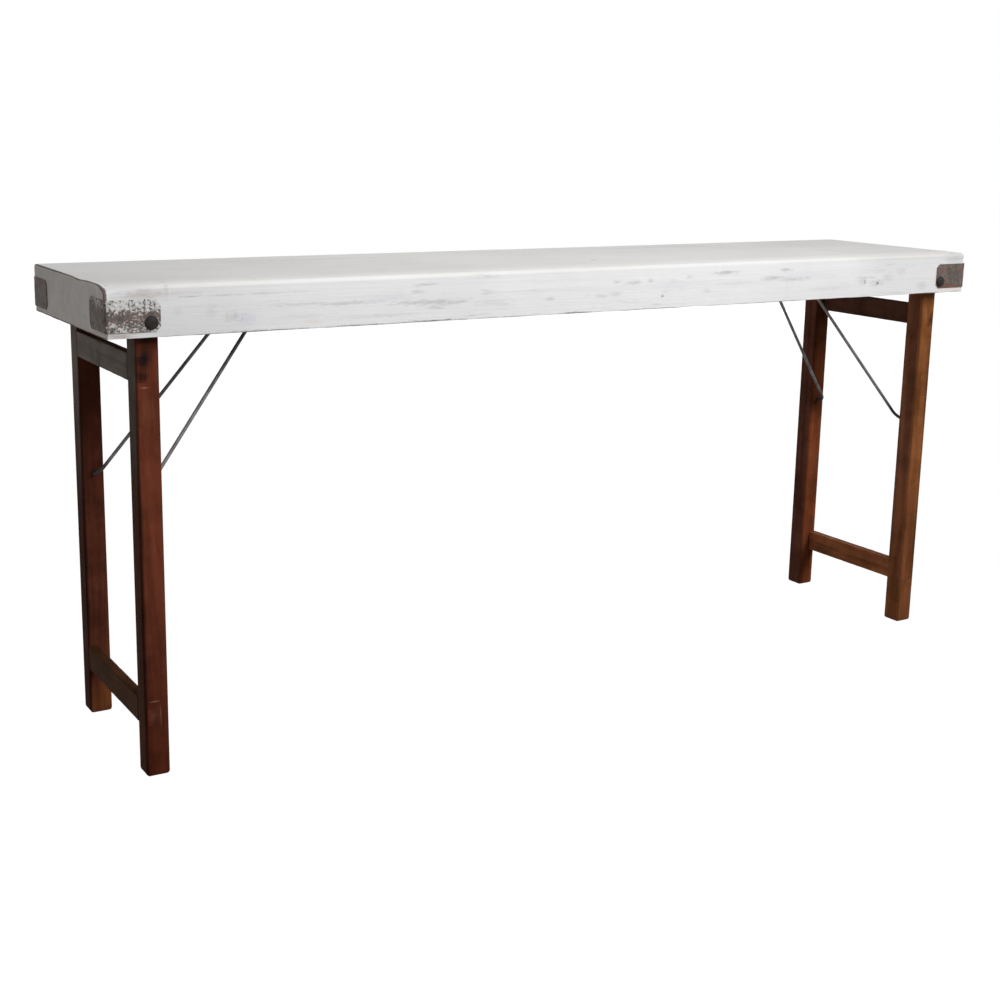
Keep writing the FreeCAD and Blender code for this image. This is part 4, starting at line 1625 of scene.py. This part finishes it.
@dataclass
class Pivot:
    """A leg's pivot: a domed bolt with a square neck, and its nut."""

    bolt_diameter: float = 8 * MM
    neck: float = 4 * MM
    tip_taper: float = 0.8 * MM
    tip_length: float = 0.7 * MM
    thread_pitch: float = 1.25 * MM
    thread_depth: float = 0.6 * MM
    thread_length: float = 14 * MM
    shank_sides: int = 24
    head_sides: int = 40
    nut_width: float = 13 * MM
    nut_height: float = 6.5 * MM
    nut_chamfer: float = 0.9 * MM
    nut_clearance: float = 0.1 * MM
    nut_face: float = 0.95
    nut_sides: int = 48
    nut_turns: tuple[float, float] = (0.4, 0.9)
    dome: ClassVar[tuple[tuple[float, float], ...]] = (
        (1.0, 0.0), (1.0, 0.16), (0.965, 0.34), (0.87, 0.58), (0.70, 0.80), (0.47, 0.94), (0.22, 0.995), (0.03, 1.0))

    def _shank_rings(self, length: float) -> list[tuple[float, float]]:
        """The rings of the shank: its tapered tip, the thread and the plain part.

        Args:
            length: The shank's length below the head.

        Returns:
            Radius and height of each.
        """
        radius, height = self.bolt_diameter / 2, -length + self.tip_length
        rings = [(radius - self.tip_taper, -length), (radius - 0.1 * MM, height)]
        while height < -length + self.thread_length:
            rings += [(radius, height + 0.35 * self.thread_pitch),
                      (radius - self.thread_depth, height + 0.85 * self.thread_pitch)]
            height += self.thread_pitch
        return rings + [(radius, height + 0.5 * self.thread_pitch), (radius, -0.2 * MM)]

    def bolt(self, head_radius: float, head_height: float, length: float) -> bpy.types.Object:
        """One bolt at the origin, its head upwards and seated on z = 0.

        Args:
            head_radius: The head's radius.
            head_height: The head's height.
            length: The shank's length below the head.

        Returns:
            The bolt.
        """
        shank = turned("bolt", self._shank_rings(length), self.shank_sides)
        half = self.bolt_diameter / 2
        neck = block("neck", Extent(Vector((-half, -half, -self.neck)), Vector((half, half, 0.3 * MM))))
        rings = [(head_radius * wide, head_height * high) for wide, high in self.dome]
        head = turned("head", rings, self.head_sides)
        combine(head, Joinery.WELD, neck)
        combine(head, Joinery.WELD, shank)
        smooth(head, 40.0)
        return head

    def nut(self) -> bpy.types.Object:
        """One hexagon nut with chamfered corners, standing on z = 0.

        Returns:
            The nut.
        """
        middle, inner = Vector((0.0, 0.0, self.nut_height / 2)), self.nut_face * self.nut_width / 2
        corner = self.nut_width / math.cos(math.pi / 6) / 2
        nut = added("nut", "cylinder", vertices=6, radius=corner, depth=self.nut_height, location=middle)
        combine(nut, Joinery.TRIM, turned("chamfer", [
            (inner, 0.0), (corner, self.nut_chamfer),
            (corner, self.nut_height - self.nut_chamfer), (inner, self.nut_height)], self.nut_sides))
        bore = self.bolt_diameter + self.nut_clearance
        combine(nut, Joinery.BORE, drill(middle, Axis.Z, 3 * self.nut_height, bore))
        smooth(nut, 25.0)
        return nut

    def build(self, steel: bpy.types.Material) -> None:
        """Makes the four bolts and the four nuts.

        Args:
            steel: Their finish.
        """
        bolts = Extent.of("pivot_bolts")
        seat = Extent.of("left_front_strap", "left_back_strap").high.y
        head_radius = bolts.size.z / 2
        bolt = self.bolt(head_radius, bolts.high.y - seat, seat - self._inner_end("pivot_bolts"))
        for name, node, model, place_y, spin in (
            ("domed_pivot_bolts", "pivot_bolts", bolt, seat, 0.0),
            ("chamfered_pivot_nuts", "pivot_nuts", self.nut(), self._inner_end("pivot_nuts"), 1.0),
        ):
            copies = []
            for end, face in product(End, Face):
                copy = copy_of(model, name)
                copy.rotation_euler.z = spin * (self.nut_turns[0] * end.sign + self.nut_turns[1] * face.sign)
                settle(copy)
                copy.rotation_euler.x = -face.sign * math.pi / 2
                copy.location = (end.sign * (bolts.high.x - head_radius), face.sign * place_y, bolts.middle.z)
                settle(copy)
                copies.append(copy)
            bpy.data.objects.remove(model)
            only(copies[0])
            for copy in copies:
                copy.select_set(True)
            bpy.ops.object.join()
            whole = bpy.context.object
            whole.name = whole.data.name = name
            install(whole, steel, TABLETOP, Slot.BOLT, node)

    @staticmethod
    def _inner_end(node: str) -> float:
        """The inner end of a node's back pieces, along Y."""
        return min(vertex.co.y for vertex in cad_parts[node].data.vertices if vertex.co.y > 0.0)


@dataclass
class Ironwork:
    """The straps, nails, pivots and braces."""

    straps: Sequence[Strap] = (
        Strap(End.LEFT, Face.FRONT, 0.885), Strap(End.LEFT, Face.BACK, 1.04),
        Strap(End.RIGHT, Face.FRONT, 1.4, short=4 * MM), Strap(End.RIGHT, Face.BACK, 1.0))
    bolt_steel: Steel = Steel("bolt_steel", (0.009, 0.0085, 0.0075), (0.022, 0.018, 0.015), 0.3, 0.5)
    staple_steel: Steel = Steel("staple_steel", (0.06, 0.055, 0.05), (0.16, 0.07, 0.035), 0.6, 0.5)
    # The braces' hooks, low on the legs, get painted shade.
    brace_steel: Steel = Steel("brace_steel", (0.170, 0.170, 0.166), (0.125, 0.122, 0.118), 0.5, 0.42, painted_shade_below=0.445)

    def build(self, tray: Extent) -> None:
        """Makes and dresses all the metal pieces.

        Args:
            tray: The tray's box.
        """
        for strap in self.straps:
            strap.build(tray)
        bolt_steel = self.bolt_steel.material()
        Pivot().build(bolt_steel)
        nail_iron = StrapIron("strap_nail_iron", Extent.of("left_front_strap"), 0.885, painted_to=-0.8)
        for finish, nodes in (
            (nail_iron.material(), ("strap_nails",)),
            (self.staple_steel.material(), ("brace_staples",)),
            (bolt_steel, ("spacer_washers", "nut_washers")),
            (self.brace_steel.material(), ("left_brace", "right_brace")),
        ):
            for node in nodes:
                keep(node, finish)


@dataclass
class Studio:
    """The pale floor, the soft lamps and the camera."""

    camera_place: Vector = field(default_factory=lambda: Vector((-1.53465, -2.33807, 1.01466)))
    yaw: float = 30.838
    pitch: float = 12.115
    roll: float = 0.980
    focal_pixels: float = 1507.95
    centre: tuple[float, float] = (478.7, 450.0)
    picture: float = 1000.0
    sensor: float = 36.0
    far_clip: float = 60.0
    floor_size: float = 40.0
    floor_drop: float = 0.5 * MM
    floor_colour: Colour = (0.36, 0.36, 0.355)
    floor_glow: float = 1.075
    glow_share: float = 0.93
    sky_light: float = 0.22
    lamps: tuple[tuple[str, tuple[float, float, float], float, float], ...] = (
        ("key_lamp", (2.1, -5.1, 4.5), 3.2, 440.0),
        ("fill_lamp", (-3.6, -2.6, 2.4), 3.0, 3.0),
        ("back_lamp", (4.4, 4.4, 0.36), 0.7, 110.0),
    )
    lamps_aim: Vector = field(default_factory=lambda: Vector((0.0, 0.0, 0.5)))

    def build(self) -> None:
        """Sets up the whole studio."""
        self._camera()
        self._floor()
        for name, place, size, power in self.lamps:
            self._lamp(name, Vector(place), size, power)
        self._world()
        bpy.context.scene.view_settings.view_transform = "Standard"

    @staticmethod
    def _placed(name: str, data: bpy.types.ID, place: Vector) -> bpy.types.Object:
        """An object of the studio at its place.

        Args:
            name: Its name.
            data: The camera or the light.
            place: Its place.

        Returns:
            The object.
        """
        thing = bpy.data.objects.new(name, data)
        bpy.context.scene.collection.objects.link(thing)
        thing.location = place
        return thing

    def _camera(self) -> None:
        """Places and turns the camera."""
        data = bpy.data.cameras.new("camera")
        data.sensor_width = self.sensor
        data.lens = self.focal_pixels * self.sensor / self.picture
        data.shift_x = (self.picture / 2 - self.centre[0]) / self.picture
        data.shift_y = (self.centre[1] - self.picture / 2) / self.picture
        data.clip_end = self.far_clip
        camera = self._placed("camera", data, self.camera_place)
        yaw, pitch, roll = (math.radians(angle) for angle in (self.yaw, self.pitch, self.roll))
        forward = Vector((math.sin(yaw) * math.cos(pitch), math.cos(yaw) * math.cos(pitch), -math.sin(pitch)))
        level = Vector((math.cos(yaw), -math.sin(yaw), 0.0))
        upright = level.cross(forward)
        turn = camera.matrix_world.to_3x3()
        turn.col[0] = level * math.cos(roll) + upright * math.sin(roll)
        turn.col[1] = upright * math.cos(roll) - level * math.sin(roll)
        turn.col[2] = -forward
        camera.rotation_euler = turn.to_euler()
        bpy.context.scene.camera = camera

    def _floor(self) -> None:
        """Lays the floor: it is seen as white, and lights the table as a grey floor does."""
        floor = added("floor", "plane", size=self.floor_size, location=(0.0, 0.0, -self.floor_drop))
        recipe = Recipe("pale_floor")
        seen = recipe.seen("Is Camera Ray", "Is Glossy Ray", "Is Transmission Ray")
        plain = recipe.node("ShaderNodeBsdfDiffuse", {}, {"Color": rgba(self.floor_colour)})
        glow = recipe.node("ShaderNodeEmission", {}, {"Color": rgba(WHITE), "Strength": self.floor_glow})
        recipe.show(recipe.node("ShaderNodeMixShader", {}, {0: seen * self.glow_share, 1: plain, 2: glow}))
        dress(floor, recipe.material)

    def _lamp(self, name: str, place: Vector, size: float, power: float) -> None:
        """Sets up one soft lamp, aimed at the table.

        Args:
            name: Its name.
            place: Its place.
            size: Its size, in metres.
            power: Its power, in watts.
        """
        data = bpy.data.lights.new(name, "AREA")
        data.size = size
        data.energy = power
        lamp = self._placed(name, data, place)
        lamp.rotation_euler = (self.lamps_aim - place).to_track_quat("-Z", "Y").to_euler()

    def _world(self) -> None:
        """Makes the sky: it is seen as white, and lights the table faintly."""
        world = bpy.data.worlds.new("studio")
        bpy.context.scene.world = world
        nodes = Nodes(world)
        seen = nodes.seen("Is Camera Ray", "Is Glossy Ray")
        strength = nodes.node("ShaderNodeMapRange", {}, {"Value": seen, "To Min": self.sky_light, "To Max": 1.0})
        sky = nodes.node("ShaderNodeBackground", {}, {"Color": rgba(WHITE), "Strength": strength})
        nodes.show(sky, "ShaderNodeOutputWorld")


def main() -> None:
    """Builds the table and its studio."""
    logging.basicConfig(level=logging.INFO, format="%(message)s")
    tray = Tray()
    tray.build()
    for end in End:
        LegFrame(end).build()
    Ironwork().build(tray.box)
    Studio().build()


if __name__ == "__main__":
    main()
